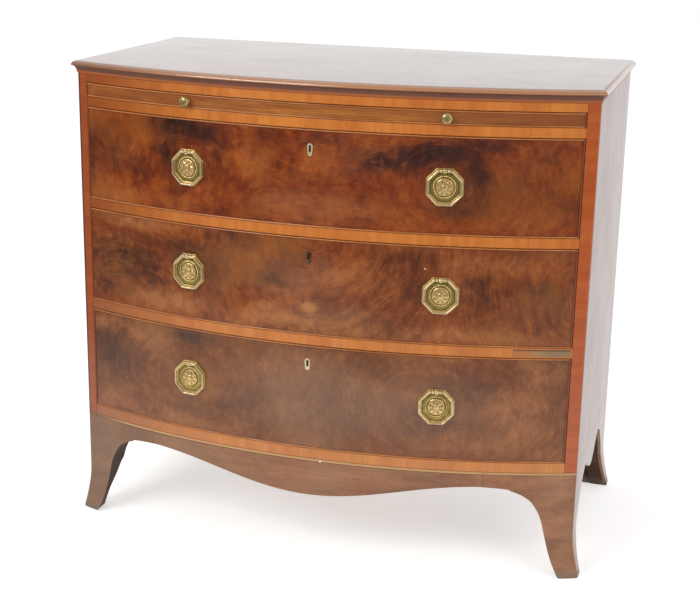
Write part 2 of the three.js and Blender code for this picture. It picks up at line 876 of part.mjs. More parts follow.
// One drawer, made with its runner on z = 0 and set on its floor in the case
function drawer({ name, floor, opening, handleRise }) {
  const group = new THREE.Group();
  group.position.z = floor;
  const low = seatGap;
  const high = opening - runGap;
  const sideHigh = high - drawerSideDrop;
  const handleZ = opening / 2 + handleRise;
  const back = drawerBack();
  const backHalf = slidingHalf - drawerSideThickness - seatGap;
  const backLow = low + drawerBottomRise + drawerBottomThickness + seatGap;
  const backBoard = boxSolid(
    [-backHalf, backHalf],
    [back - drawerBackThickness, back],
    [backLow, sideHigh - drawerBackDrop],
  );
  group.add(
    piece(`drawer_${name}_front`, drawerFront(low, high, handleZ), 'mahogany'),
    ...bothSides(`drawer_${name}_side`, drawerSide(low, sideHigh), 'oak'),
    piece(`drawer_${name}_back`, backBoard, 'oak'),
    piece(`drawer_${name}_bottom`, drawerBottomSolid(0), 'pine'),
    piece(`drawer_${name}_lock_case`, lockCase(high), 'iron'),
    piece(`drawer_${name}_lock_bolt`, boltBox(high, 0, 0), 'iron'),
    piece(`drawer_${name}_escutcheon`, escutcheon(high), 'brass'),
  );
  for (const [word, way] of [['left', -1], ['right', 1]]) {
    const x = (way * handleSpacing) / 2;
    const handle = new THREE.Group();
    handle.position.set(x, bowY(x), handleZ);
    handle.rotation.z = Math.asin(x / bowRadius);
    const ring = piece(`drawer_${name}_ring_${word}`, ringGeometry(), 'brass');
    ring.position.set(0, -ringStandoff, postRise);
    handle.add(piece(`drawer_${name}_plate_${word}`, handlePlate(), 'brass'), ring);
    group.add(handle);
  }
  return group;
}

const chest = new THREE.Group();
chest.position.y = (bowRise + topOverhang - caseDepth) / 2;
chest.add(carcase(), brushingSlide(), ...drawers.map(drawer));

export default chest;
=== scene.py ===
# A bow front chest of drawers in flame mahogany: its finished surfaces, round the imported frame.
# Lengths are metres. X runs along the front, Y to the back and Z up from the floor.
import math

import bmesh
import bpy
import numpy as np
from mathutils import Matrix, Vector


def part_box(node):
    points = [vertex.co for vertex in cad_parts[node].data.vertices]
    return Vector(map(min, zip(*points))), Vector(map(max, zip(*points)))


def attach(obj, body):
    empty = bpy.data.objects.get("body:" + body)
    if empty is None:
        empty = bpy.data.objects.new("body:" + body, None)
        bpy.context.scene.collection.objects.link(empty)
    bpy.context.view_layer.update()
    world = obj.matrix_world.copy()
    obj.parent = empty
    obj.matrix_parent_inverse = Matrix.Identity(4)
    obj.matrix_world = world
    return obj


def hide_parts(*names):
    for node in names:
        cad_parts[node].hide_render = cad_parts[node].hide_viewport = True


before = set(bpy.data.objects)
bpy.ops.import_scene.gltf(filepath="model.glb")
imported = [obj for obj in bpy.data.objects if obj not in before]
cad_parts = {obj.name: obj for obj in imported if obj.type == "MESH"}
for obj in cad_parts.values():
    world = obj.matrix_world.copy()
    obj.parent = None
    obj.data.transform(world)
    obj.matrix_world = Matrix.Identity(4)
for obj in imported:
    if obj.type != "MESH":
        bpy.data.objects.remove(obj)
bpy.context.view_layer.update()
bpy.context.scene.view_settings.view_transform = "Standard"

# The plan of the case: the front is an arc through both corners and the middle of the bow
case = {"half": 0.45, "bowRise": 0.085, "topOverhang": 0.009, "side": 0.02, "cornerRound": 0.004,
        "backThickness": 0.01, "backRebate": 0.01, "railDepth": 0.06, "railHousing": 0.008,
        "housingSetBack": 0.012, "dustboardGroove": 0.006, "slidingGap": 0.0008}
seat = 0.0003  # the hair's breadth between pieces that touch
past = 0.005  # how far a cutter runs on past what it cuts
topLow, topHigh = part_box("top_board")
bow = {"radius": (case["half"] ** 2 + case["bowRise"] ** 2) / (2 * case["bowRise"])}
bow["centreY"] = topLow.y + case["topOverhang"] + bow["radius"]
backY = topHigh.y
cornerY = bow["centreY"] - math.sqrt(bow["radius"] ** 2 - case["half"] ** 2)
insideHalf = case["half"] - case["side"]
slidingHalf = insideHalf - case["slidingGap"]
backFace = backY - case["backThickness"]
bead = {"width": 0.0026, "proud": 0.0013, "sunk": 0.0004, "edge": 0.00015}


# The front face at x, moved out along the arc's radius: y = centre - root((radius + out)^2 - x^2)
def bowY(x, out=0.0):
    return bow["centreY"] - np.sqrt((bow["radius"] + out) ** 2 - np.asarray(x, float) ** 2)


# Vertices and faces of a table of points. Each four neighbours make a face, the last column
# joins the first, and flat faces close the first and last rows unless the rows wrap too.
def grid(points, wrapRows=False):
    rows, columns = points.shape[:2]
    index = np.arange(rows * columns).reshape(rows, columns)
    if wrapRows:
        index = np.vstack([index, index[:1]])
    index = np.hstack([index, index[:, :1]])
    square = [index[:-1, :-1], index[:-1, 1:], index[1:, 1:], index[1:, :-1]]
    faces = np.stack(square, -1).reshape(-1, 4).tolist()
    if not wrapRows:
        faces += [index[0, :columns][::-1].tolist(), index[-1, :columns].tolist()]
    return points.reshape(-1, 3), faces


# One object from several closed surfaces: doubles merged, faces turned out, and shading smooth
# up to an angle between faces
def makePiece(name, grids, sharpAngle=38):
    vertices, faces, start = [], [], 0
    for points, quads in grids:
        vertices += np.asarray(points, float).tolist()
        faces += [[start + i for i in face] for face in quads]
        start += len(points)
    mesh = bpy.data.meshes.new(name)
    mesh.from_pydata(vertices, [], faces)
    tidy = bmesh.new()
    tidy.from_mesh(mesh)
    bmesh.ops.remove_doubles(tidy, verts=tidy.verts, dist=1e-6)
    bmesh.ops.recalc_face_normals(tidy, faces=tidy.faces)
    tidy.to_mesh(mesh)
    tidy.free()
    mesh.shade_smooth()
    mesh.set_sharp_from_angle(angle=math.radians(sharpAngle))
    piece = bpy.data.objects.new(name, mesh)
    bpy.context.scene.collection.objects.link(piece)
    return piece


def cutter(surface):
    return makePiece("cutter", [surface])


# Takes cutting bodies out of a piece, keeps the result as its mesh and deletes the cutters
def carve(piece, cutters, sharpAngle=38):
    for tool in cutters:
        boolean = piece.modifiers.new("carve", "BOOLEAN")
        boolean.operation = "DIFFERENCE"
        boolean.solver = "EXACT"
        boolean.object = tool
    depsgraph = bpy.context.evaluated_depsgraph_get()
    carved = bpy.data.meshes.new_from_object(piece.evaluated_get(depsgraph))
    piece.modifiers.clear()
    piece.data = carved
    for tool in cutters:
        bpy.data.objects.remove(tool)
    carved.shade_smooth()
    carved.set_sharp_from_angle(angle=math.radians(sharpAngle))


# Breaks every sharp arris with a small round
def ease(piece, width):
    bevel = piece.modifiers.new("arris", "BEVEL")
    bevel.width = width
    bevel.segments = 2
    bevel.limit_method = "ANGLE"
    bevel.angle_limit = math.radians(35)
    bevel.harden_normals = True
    return piece


def dress(piece, material):
    piece.data.materials.clear()
    piece.data.materials.append(material)


def seatOn(piece, body, material, slot, *replaced):
    dress(piece, material)
    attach(piece, body)
    if replaced:
        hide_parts(*replaced)


# A body of one outline between two levels along an axis: a plan (x, y) between heights, or with
# axis 1 a front view (x, z) between depths
def prism(outline, start, end, axis=2):
    outline = np.asarray(outline, float)
    return grid(np.array([np.insert(outline, axis, level, axis=1) for level in (start, end)]))


def boxCutter(low, high):
    corners = [(low[0], low[1]), (high[0], low[1]), (high[0], high[1]), (low[0], high[1])]
    return cutter(prism(corners, low[2], high[2]))


# Points (x, y) along the bow from one x to another
def bowRun(start, end, out=0.0, steps=96):
    x = np.linspace(start, end, steps + 1)
    return np.column_stack([x, bowY(x, out)])


# The same surface on the other side of the chest
def mirrored(surface):
    return np.asarray(surface[0]) * (-1, 1, 1), surface[1]


def lifted(surface, rise):
    return surface[0] + (0, 0, rise), surface[1]


# A corner rounded off: point = (1 - t)^2 start + 2 t (1 - t) corner + t^2 end
def rounding(start, corner, end, steps):
    t = np.linspace(0, 1, steps + 1)[:, None]
    return (1 - t) ** 2 * start + 2 * t * (1 - t) * corner + t ** 2 * end


# A bead round a bowed front. Its section is a half round on a short foot, given as how far in
# from the edge and how far out from the face, and it is carried round the rectangle as a loop
# whose corners are mitred.
def beadFrame(low, high, along=97, up=9, steps=8):
    middle, reach = bead["width"] / 2, bead["width"] / 2 - bead["edge"]
    angle = np.linspace(0, math.pi, steps + 1)
    inset = np.concatenate([[middle - reach], middle - reach * np.cos(angle), [middle + reach]])
    out = np.concatenate([[-bead["sunk"]], bead["proud"] * np.sin(angle), [-bead["sunk"]]])
    right, bottom, top = slidingHalf - inset[:, None], low + inset[:, None], high - inset[:, None]
    across = np.linspace(-1, 1, along)[None, :-1]
    rise = np.linspace(0, 1, up)[None, :-1]
    x = np.hstack([right * across, right + 0 * rise, -right * across, -right + 0 * rise])
    z = np.hstack([bottom + 0 * across, bottom + (top - bottom) * rise,
                   top + 0 * across, top + (bottom - top) * rise])
    return grid(np.stack([x, bowY(x, out[:, None]), z], -1), wrapRows=True)


# A turned shape: (radius, place along its axis) pairs carried round the Y axis
def turned(profile, sides=48):
    radius, along = np.asarray(profile, float).T
    angle = np.linspace(0, 2 * math.pi, sides, endpoint=False)
    x = radius[:, None] * np.cos(angle)
    z = radius[:, None] * np.sin(angle)
    return grid(np.stack([x, np.broadcast_to(along[:, None], x.shape), z], -1))


# Local points of a fitting, set on the bow at x and z and turned to face out there
def ontoBow(surface, x, z):
    vertices, faces = surface
    turn = math.asin(x / bow["radius"])
    lx, ly, lz = np.asarray(vertices, float).T
    placedX = lx * math.cos(turn) - ly * math.sin(turn) + x
    placedY = lx * math.sin(turn) + ly * math.cos(turn) + float(bowY(x))
    return np.column_stack([placedX, placedY, lz + z]), faces


print("helpers ready")

bench = {"tree": None}  # the node tree that is being built


# A wire out of a node. Sums and products of wires make the nodes for them.
class Wire:
    def __init__(self, socket):
        self.socket = socket

    def __add__(self, other):
        return maths("ADD", self, other)

    def __sub__(self, other):
        return maths("SUBTRACT", self, other)

    def __rsub__(self, other):
        return maths("SUBTRACT", other, self)

    def __mul__(self, other):
        return maths("MULTIPLY", self, other)

    def __truediv__(self, other):
        return maths("DIVIDE", self, other)

    def __abs__(self):
        return maths("ABSOLUTE", self)


# Linear colour from the 0 to 255 values seen on a screen
def seenTone(red, green, blue):
    seen = np.array([red, green, blue]) / 255
    linear = np.where(seen <= 0.04045, seen / 12.92, ((seen + 0.055) / 1.055) ** 2.4)
    return (*linear.tolist(), 1.0)


# Joins a wire to a socket, or sets the socket. Three numbers for a colour are as seen on a screen.
def plug(value, socket):
    if isinstance(value, Wire):
        bench["tree"].links.new(value.socket, socket)
    elif socket.type == "RGBA" and len(value) == 3:
        socket.default_value = seenTone(*value)
    else:
        socket.default_value = value


def addNode(kind, inputs=None, **settings):
    made = bench["tree"].nodes.new("ShaderNode" + kind)
    for name, value in settings.items():
        setattr(made, name, value)
    for name, value in (inputs or {}).items():
        plug(value, made.inputs[name])
    return made


def outOf(kind, inputs=None, output=0, **settings):
    return Wire(addNode(kind, inputs, **settings).outputs[output])


# Maths on numbers, or on vectors where a wire carries one
def maths(operation, first, second=0.0, **settings):
    wires = [part.socket.type for part in (first, second) if isinstance(part, Wire)]
    kind = "Math" if set(wires) == {"VALUE"} else "VectorMath"
    return outOf(kind, {0: first, 1: second}, operation=operation, **settings)


def least(first, second):
    return maths("MINIMUM", first, second)


def most(first, second):
    return maths("MAXIMUM", first, second)


def lengthOf(vector):
    return outOf("VectorMath", {0: vector}, "Value", operation="LENGTH")


def split(vector):
    return [Wire(socket) for socket in addNode("SeparateXYZ", {0: vector}).outputs]


def combine(x, y=0, z=0):
    return outOf("CombineXYZ", {0: x, 1: y, 2: z})


# A value's range laid over another range, in an S curve or in a straight line, and held at its ends
def smoothRange(value, low, high, outLow=0.0, outHigh=1.0, curve="SMOOTHSTEP"):
    inputs = {"Value": value, "From Min": low, "From Max": high, "To Min": outLow, "To Max": outHigh}
    return outOf("MapRange", inputs, interpolation_type=curve)


def straightRange(value, low, high, outLow=0.0, outHigh=1.0):
    return smoothRange(value, low, high, outLow, outHigh, "LINEAR")


# Noise of one scale, or of three scales along the axes
def noise(vector, scale, detail, roughness=0.55, output="Fac", shift=(0, 0, 0)):
    if isinstance(scale, tuple):
        vector = outOf("Mapping", {"Vector": vector, "Scale": scale, "Location": shift})
        scale = 1
    inputs = {"Vector": vector, "Scale": scale, "Detail": detail, "Roughness": roughness}
    return outOf("TexNoise", inputs, output)


def mixTone(factor, first, second, blend="MIX"):
    return outOf("Mix", {0: factor, 6: first, 7: second}, 2, data_type="RGBA", blend_type=blend)


# A colour ramp from pairs of place and tone
def toneRamp(factor, stops):
    made = addNode("ValToRGB", {"Fac": factor})
    ramp = made.color_ramp
    while len(ramp.elements) < len(stops):
        ramp.elements.new(0.5)
    for element, (spotOnRamp, tone) in zip(ramp.elements, stops):
        element.position = spotOnRamp
        element.color = seenTone(*tone)
    return Wire(made.outputs["Color"])


# A node group with named inputs and outputs: build gets the inputs and returns the outputs by name
def makeGroup(name, build, **inputs):
    tree = bpy.data.node_groups.new(name, "ShaderNodeTree")
    bench["tree"] = tree
    for socketName, kind in inputs.items():
        tree.interface.new_socket(socketName, in_out="INPUT", socket_type="NodeSocket" + kind)
    entry = tree.nodes.new("NodeGroupInput").outputs
    made = build(*[Wire(entry[socketName]) for socketName in inputs])
    for socketName in made:
        tree.interface.new_socket(socketName, in_out="OUTPUT", socket_type="NodeSocketFloat")
    ending = tree.nodes.new("NodeGroupOutput")
    for socketName, value in made.items():
        plug(value, ending.inputs[socketName])
    return tree


def place(group, vector, **inputs):
    made = addNode("Group", {"Vector": vector, **inputs}, node_tree=group)
    return {socket.name: Wire(socket) for socket in made.outputs}


# A material to build, and the wire of its Object coordinates
def newMaterial(name):
    material = bpy.data.materials.new(name)
    material.use_nodes = True
    bench["tree"] = material.node_tree
    return material, outOf("TexCoord", output="Object")


polish = {"coat": 0.8, "coatRoughness": 0.1}


def finish(material, colour, roughness, height, depth, metallic=0.0, coat=0.0, ior=1.4, coatIor=1.4):
    bump = outOf("Bump", {"Height": height, "Distance": depth, "Strength": 1.0})
    values = {"Base Color": colour, "Roughness": roughness, "Normal": bump, "Metallic": metallic, "IOR": ior,
              "Coat Weight": coat, "Coat IOR": coatIor, "Coat Roughness": polish["coatRoughness"]}
    for name, value in values.items():
        plug(value, material.node_tree.nodes["Principled BSDF"].inputs[name])
    return material


# How far a point lies behind the bowed front, how far along its arc, and how high
def buildBehindBow(vector):
    x, y, z = split(vector)
    depth = bow["centreY"] - y
    behind = bow["radius"] - maths("SQRT", x * x + depth * depth)
    return {"Behind": behind, "Arc": maths("ARCTAN2", x, depth) * bow["radius"], "Height": z}


# Wood whose grain runs along the vector's X: broad figure, fine fibre, and dark pores. Height is
# for a Bump node.
def buildGrain(vector, scale):
    sway = (noise(vector, (3, 14, 14), 2, 0.5, "Color") - (0.5, 0.5, 0.5)) * (0, 0.012, 0.012)
    bent = outOf("VectorMath", {0: vector + sway, "Scale": scale}, operation="SCALE")
    fibre = noise(bent, (18, 700, 700), 3, 0.6)
    pores = smoothRange(noise(bent, (55, 1900, 1900), 1, 0.5), 0.6, 0.72)
    figure = noise(bent, (2.5, 38, 38), 4, 0.6)
    return {"Figure": figure, "Fibre": fibre, "Pores": pores, "Height": fibre * 0.5 - pores}


# An oval of colour on the front, X and Z only: how far out a point is, 1 on the oval's edge, and
# a mask that fades from its middle to its edge
def buildOval(vector, centre, reach, strength):
    distance = lengthOf((vector - centre) / reach * (1, 0, 1))
    return {"Distance": distance, "Mask": smoothRange(distance, 1, 0.1) * strength}


# Years of handling: soft smears of wax and dust, fine scratches, and small dents
def buildHandling(vector):
    return {"Smears": smoothRange(noise(vector, 9, 5, 0.6), 0.35, 0.7),
            "Scratches": smoothRange(noise(vector, (40, 400, 900), 2, 0.7), 0.66, 0.74),
            "Dents": smoothRange(noise(vector, 60, 1, 0.5), 0.74, 0.8)}


behindBow = makeGroup("behindBow", buildBehindBow, Vector="Vector")
grain = makeGroup("grain", buildGrain, Vector="Vector", Scale="Float")
oval = makeGroup("oval", buildOval, Vector="Vector", Centre="Vector", Reach="Vector", Strength="Float")
handling = makeGroup("handling", buildHandling, Vector="Vector")


def ovalAt(vector, x, z, reachX, reachZ, strength=1.0):
    return place(oval, vector, Centre=(x, 0, z), Reach=(reachX, 1, reachZ), Strength=strength)


# A fleck of another tone with a crisp edge
def flecked(spot, colour, oneFleck, tone):
    return mixTone(smoothRange(ovalAt(spot, *oneFleck)["Distance"], 1, 0.7), colour, tone)


# The tones of each wood, dark, middle, light and pores, then its grain's scale and its pores' share
woods = {
    "liningPine": ((150, 112, 74), (172, 134, 92), (190, 152, 108), (120, 84, 52), 0.8, 0.6),
    "pine": ((146, 104, 66), (168, 126, 84), (184, 144, 100), (116, 80, 50), 0.8, 0.6),
    "backPine": ((138, 102, 66), (166, 128, 86), (186, 150, 106), (104, 74, 46), 0.7, 0.6),
    "oak": ((146, 112, 74), (168, 132, 90), (188, 152, 108), (104, 76, 48), 0.9, 0.6),
    "top": ((96, 54, 34), (124, 78, 52), (150, 102, 72), (58, 28, 18), 0.8, 0.6),
    "footWood": ((108, 62, 38), (150, 96, 61), (180, 124, 83), (58, 28, 18), 0.9, 0.6),
    "sideApronWood": ((112, 68, 46), (142, 94, 68), (164, 116, 88), (58, 28, 18), 0.9, 0.6),
    "bareWithPaintedShade": ((62, 42, 30), (84, 58, 42), (106, 76, 56), (40, 26, 20), 0.7, 0.6),
    "side": ((104, 57, 36), (138, 83, 55), (164, 107, 75), (70, 38, 26), 0.8, 0.6),
    "stile": ((160, 70, 23), (178, 83, 28), (193, 99, 39), (112, 48, 22), 1.2, 0.4),
    "banding": ((184, 101, 37), (199, 116, 45), (213, 133, 58), (130, 60, 24), 1.3, 0.4),
    "bead": ((158, 86, 34), (184, 110, 48), (206, 134, 68), (58, 28, 18), 1.4, 0.6),
    "slide": ((138, 74, 28), (180, 112, 46), (210, 142, 68), (96, 48, 22), 0.7, 0.6),
    "slideEnds": ((112, 58, 32), (138, 76, 44), (158, 92, 56), (70, 34, 20), 1.0, 0.6),
}


# Lays the grain along X, Y or Z by putting that axis first
def alongAxis(vector, axis):
    x, y, z = split(vector)
    return combine(*{"X": (x, y, z), "Y": (y, x, z), "Z": (z, x, y)}[axis])


# The colour and height of one run of boards, with its grain along an axis or along the vector's X
def plainWood(vector, wood, axis=None):
    dark, middle, light, pores, scale, poreShare = woods[wood]
    made = place(grain, alongAxis(vector, axis) if axis else vector, Scale=scale)
    figure = made["Figure"] * 0.7 + made["Fibre"] * 0.3
    colour = toneRamp(figure, [(0.32, dark), (0.5, middle), (0.68, light)])
    return mixTone(made["Pores"] * poreShare, colour, pores), made["Height"]


def liningPine(axis):
    material, spot = newMaterial(f"pineAlong{axis}")
    colour, height = plainWood(spot, "liningPine", axis)
    stain = smoothRange(noise(spot, 4.5, 5, 0.65), 0.42, 0.75, 0, 0.45)
    colour = mixTone(stain, colour, mixTone(1.0, colour, (150, 130, 110), "MULTIPLY"))
    return finish(material, colour, straightRange(stain, 0, 0.45, 0.64, 0.84), height, 0.00012)


pineAlongX, pineAlongY = liningPine("X"), liningPine("Y")

# The feet sweep out towards the floor, the front ones forward and all of them sideways
flare = {"height": 0.08, "front": 0.009, "side": 0.015, "power": 1.5}


# Where the outside of the feet and aprons is, front or side, and not a sawn or inner face
def outsideMask(spot, behind):
    x, _, z = split(spot)
    swept = maths("POWER", most(1 - z / flare["height"], 0), flare["power"])
    atFront = smoothRange(behind + swept * flare["front"], 0.0016, 0.001)
    across = abs(x) - swept * flare["side"]
    return most(atFront, smoothRange(across, case["half"] - 0.0065, case["half"] - 0.005))


# The light string between the case and the plinth, faint at its left end, with a dark line on each
# side of it and one chip
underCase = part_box("bottom_board")[0].z
string = {"low": underCase - 0.0018, "high": underCase + 0.0012, "line": 0.002, "soft": 0.0003,
          "chip": (0.0246, underCase - 0.0016, 0.0026, 0.0019)}


def betweenLevels(level, low, high):
    soft = string["soft"]
    return smoothRange(level, low - soft, low + soft) * smoothRange(level, high + soft, high - soft)


def stringed(spot, level, colour):
    lined = betweenLevels(level, string["low"] - string["line"], string["high"] + string["line"])
    colour = mixTone(lined * 0.45, colour, (92, 48, 24))
    light = betweenLevels(level, string["low"], string["high"])
    light = light * smoothRange(split(spot)[0], -0.44, -0.34, 0.1, 1)
    return flecked(spot, mixTone(light, colour, (208, 164, 108)), string["chip"], (240, 230, 212))


# Polish after years of handling: a roughness that smears and scratches change, a height with
# dents, and the smears
def handled(spot, height, low, high, scratches):
    used = place(handling, spot)
    rough = straightRange(used["Smears"], 0, 1, low, high) + used["Scratches"] * scratches
    return rough, height - used["Dents"] * 0.8, used["Smears"]


# Polished mahogany of the plinth, darker and greyer towards the left as painted shade. Faces that don't show
# are bare wood whose dark tone is partly painted shade, and the foot of the piece is scuffed grey.
def plinthWood(name, axis, fade):
    material, spot = newMaterial(name)
    colour, height = plainWood(spot, name, axis)
    rough, height, smears = handled(spot, height, 0.35, 0.49, 0.12)
    colour = mixTone(smears * 0.4, colour, fade)
    x, _, z = split(spot)
    front = place(behindBow, spot)
    shown = outsideMask(spot, front["Behind"])
    # Bare unpolished wood for faces that don't show, its dark tone partly painted shade
    bare, bareHeight = plainWood(spot, "bareWithPaintedShade", axis)
    # Painted shade: darker and greyer towards the left
    colour = mixTone(smoothRange(x, 0, -case["half"], 0, 0.6), colour, (108, 84, 62))
    atFront = smoothRange(front["Behind"], 0.0016, 0.001)
    colour = mixTone(atFront, colour, stringed(spot, front["Height"], colour))
    colour = mixTone(shown, bare, colour)
    scuffed = smoothRange(z, 0.02, 0.003) * smoothRange(noise(spot, 90, 4, 0.6), 0.35, 0.6)
    colour = mixTone(scuffed * 0.7, colour, (122, 120, 108))
    worn = most(1 - shown, scuffed)
    height = (1 - shown) * bareHeight + height
    return finish(material, colour, rough + worn * 0.35, height, 0.00006, coat=(1 - worn) * polish["coat"])


# The beads, darker where they stand upright at the ends
def beadFinish():
    material, spot = newMaterial("beadWood")
    colour, height = plainWood(spot, "bead", "X")
    ends = slidingHalf - bead["width"]
    upright = smoothRange(abs(split(spot)[0]), ends - 0.0002, ends + 0.0002)
    colour = mixTone(upright, colour, (128, 66, 30))
    rough, height, _ = handled(spot, height, 0.25, 0.39, 0.12)
    return finish(material, colour, rough, height, 0.00006, coat=polish["coat"])


# The top: polished above, with a painted highlight on the ovolo, stronger to the right, and painted shade
# darkening the cove under its edge
def topFinish():
    material, spot = newMaterial("topWood")
    colour, height = plainWood(spot, "top")
    rough, height, smears = handled(spot, height, 0.18, 0.26, 0.1)
    colour = mixTone(smears * 0.15, colour, (134, 106, 90))
    x, _, z = split(spot)
    up = straightRange(z, topLow.z, topHigh.z)
    # Painted highlight: the ovolo is lighter, more so towards the right
    ovolo = smoothRange(up, 0.99, 0.93) * smoothRange(up, 0.6, 0.66) * smoothRange(x, -0.45, -0.1, 0.15, 0.75)
    colour = mixTone(ovolo, colour, (186, 134, 96))
    # Painted shade: the cove under the edge is painted darker
    cove = smoothRange(up, 0.62, 0.57)
    colour = mixTone(cove, colour, (104, 58, 36))
    colour = mixTone(smoothRange(up, 0.3, 0.05), colour, (168, 92, 44))
    coat = straightRange(cove, 0, 1, 0.85, 0.25)
    return finish(material, colour, rough + cove * 0.25, height, 0.00006, coat=coat, ior=1.5, coatIor=1.5)


topWood = topFinish()
footWood = plinthWood("footWood", "X", (160, 124, 94))
sideApronWood = plinthWood("sideApronWood", "Y", (158, 126, 102))
beadWood = beadFinish()


# Cross-banding on the bowed front. The grain runs up a rail, painted shade darkens it towards the left end, a
# painted reflection pales it lower down, a fine dark line edges it, partly dark stringing and partly painted
# shadow in the gap, and behind the front edge the piece is plain pine. Loss is where along the rail its
# veneer is missing.
def banding(name, low, high, foot=False, loss=None):
    material, spot = newMaterial(name)
    front = place(behindBow, spot)
    behind, level = front["Behind"], front["Height"]
    x = split(spot)[0]
    colour, height = plainWood(combine(level, front["Arc"], behind), "banding")
    patch = noise(combine(front["Arc"], behind), (8, 40, 1), 4, 0.6, shift=(low * 9, 0, 0))
    colour = mixTone(smoothRange(patch, 0.42, 0.7, 0, 0.4), colour, (176, 84, 34))
    colour = mixTone(smoothRange(patch, 0.5, 0.28, 0, 0.4), colour, (208, 134, 52))
    # Painted shade: darker towards the left end
    colour = mixTone(smoothRange(x, -0.13, -0.47, 0, 0.9), colour, (134, 63, 24))
    # Painted reflection: paler lower down, like glare from the pale floor
    colour = mixTone(smoothRange(level, 0.58, 0.2, 0, 0.12), colour, (206, 180, 140))
    # A fine dark line at the rail's edges: partly dark stringing, partly painted shadow in the gap
    edge = most(smoothRange(level - low, 0.0012, 0.0002), smoothRange(high - level, 0.0012, 0.0002))
    colour = mixTone(edge * 0.55, colour, (74, 34, 18))
    if foot:
        colour = stringed(spot, level, colour)
    inside = smoothRange(behind, 0.0026, 0.0032)
    colour = mixTone(inside, colour, plainWood(spot, "pine", "X")[0])
    if loss:
        start, end = loss
        bare = toneRamp(smoothRange(x, start + 0.01, end - 0.02),
                        [(0, (178, 110, 60)), (0.45, (160, 124, 78)), (1, (138, 114, 84))])
        bare = mixTone(smoothRange(level, high - 0.0075, high - 0.0035, 0, 0.8), bare, (96, 58, 36))
        missing = smoothRange(x, start, start + 0.001) * smoothRange(x, end, end - 0.001)
        colour = mixTone(missing * smoothRange(behind, 0.0001, 0.0004), colour, bare)
    rough = straightRange(place(handling, spot)["Smears"], 0, 1, 0.3, 0.42) + inside * 0.35
    return finish(material, colour, rough, height, 0.00005, coat=polish["coat"] * 0.8)


# The sides: banding on the bowed front edge, darker on the left side as painted shade, straight-grained
# mahogany outside with painted shade near the left front corner, pine inside
def sideFinish():
    material, spot = newMaterial("sideMahogany")
    front = place(behindBow, spot)
    behind, level = front["Behind"], front["Height"]
    x = split(spot)[0]
    colour, height = plainWood(spot, "side", "Z")
    edge = plainWood(combine(front["Arc"], level, behind), "stile")[0]
    # Painted shade: the left side's front banding is darker
    edge = mixTone(smoothRange(x, 0.1, -0.1, 0, 0.5), edge, (124, 56, 22))
    edge = stringed(spot, level, edge)
    colour = mixTone(smoothRange(behind, 0.0034, 0.0026), colour, edge)
    # Painted shade: a dark strip down the left side's outer face near its front corner
    paintedCornerShade = smoothRange(x, -case["half"] + 0.0062, -case["half"] + 0.0042)
    colour = mixTone(paintedCornerShade * smoothRange(behind, 0.014, 0.009, 0, 0.8), colour, (74, 44, 36))
    inside = smoothRange(abs(x), case["half"] - 0.002, case["half"] - 0.003)
    inside = inside * smoothRange(behind, 0.0026, 0.0034)
    colour = mixTone(inside, colour, plainWood(spot, "pine", "Z")[0])
    used = place(handling, spot)
    rough = straightRange(used["Smears"], 0, 1, 0.32, 0.46) + inside * 0.3
    height = height - used["Dents"] * 0.8
    return finish(material, colour, rough, height, 0.00006, coat=polish["coat"], coatIor=1.5)


sideMahogany = sideFinish()


# How far in a point is from the nearest edge of a front that slides
def fromEdge(spot, level, low, high):
    return least(slidingHalf - abs(split(spot)[0]), least(level - low, high - level))


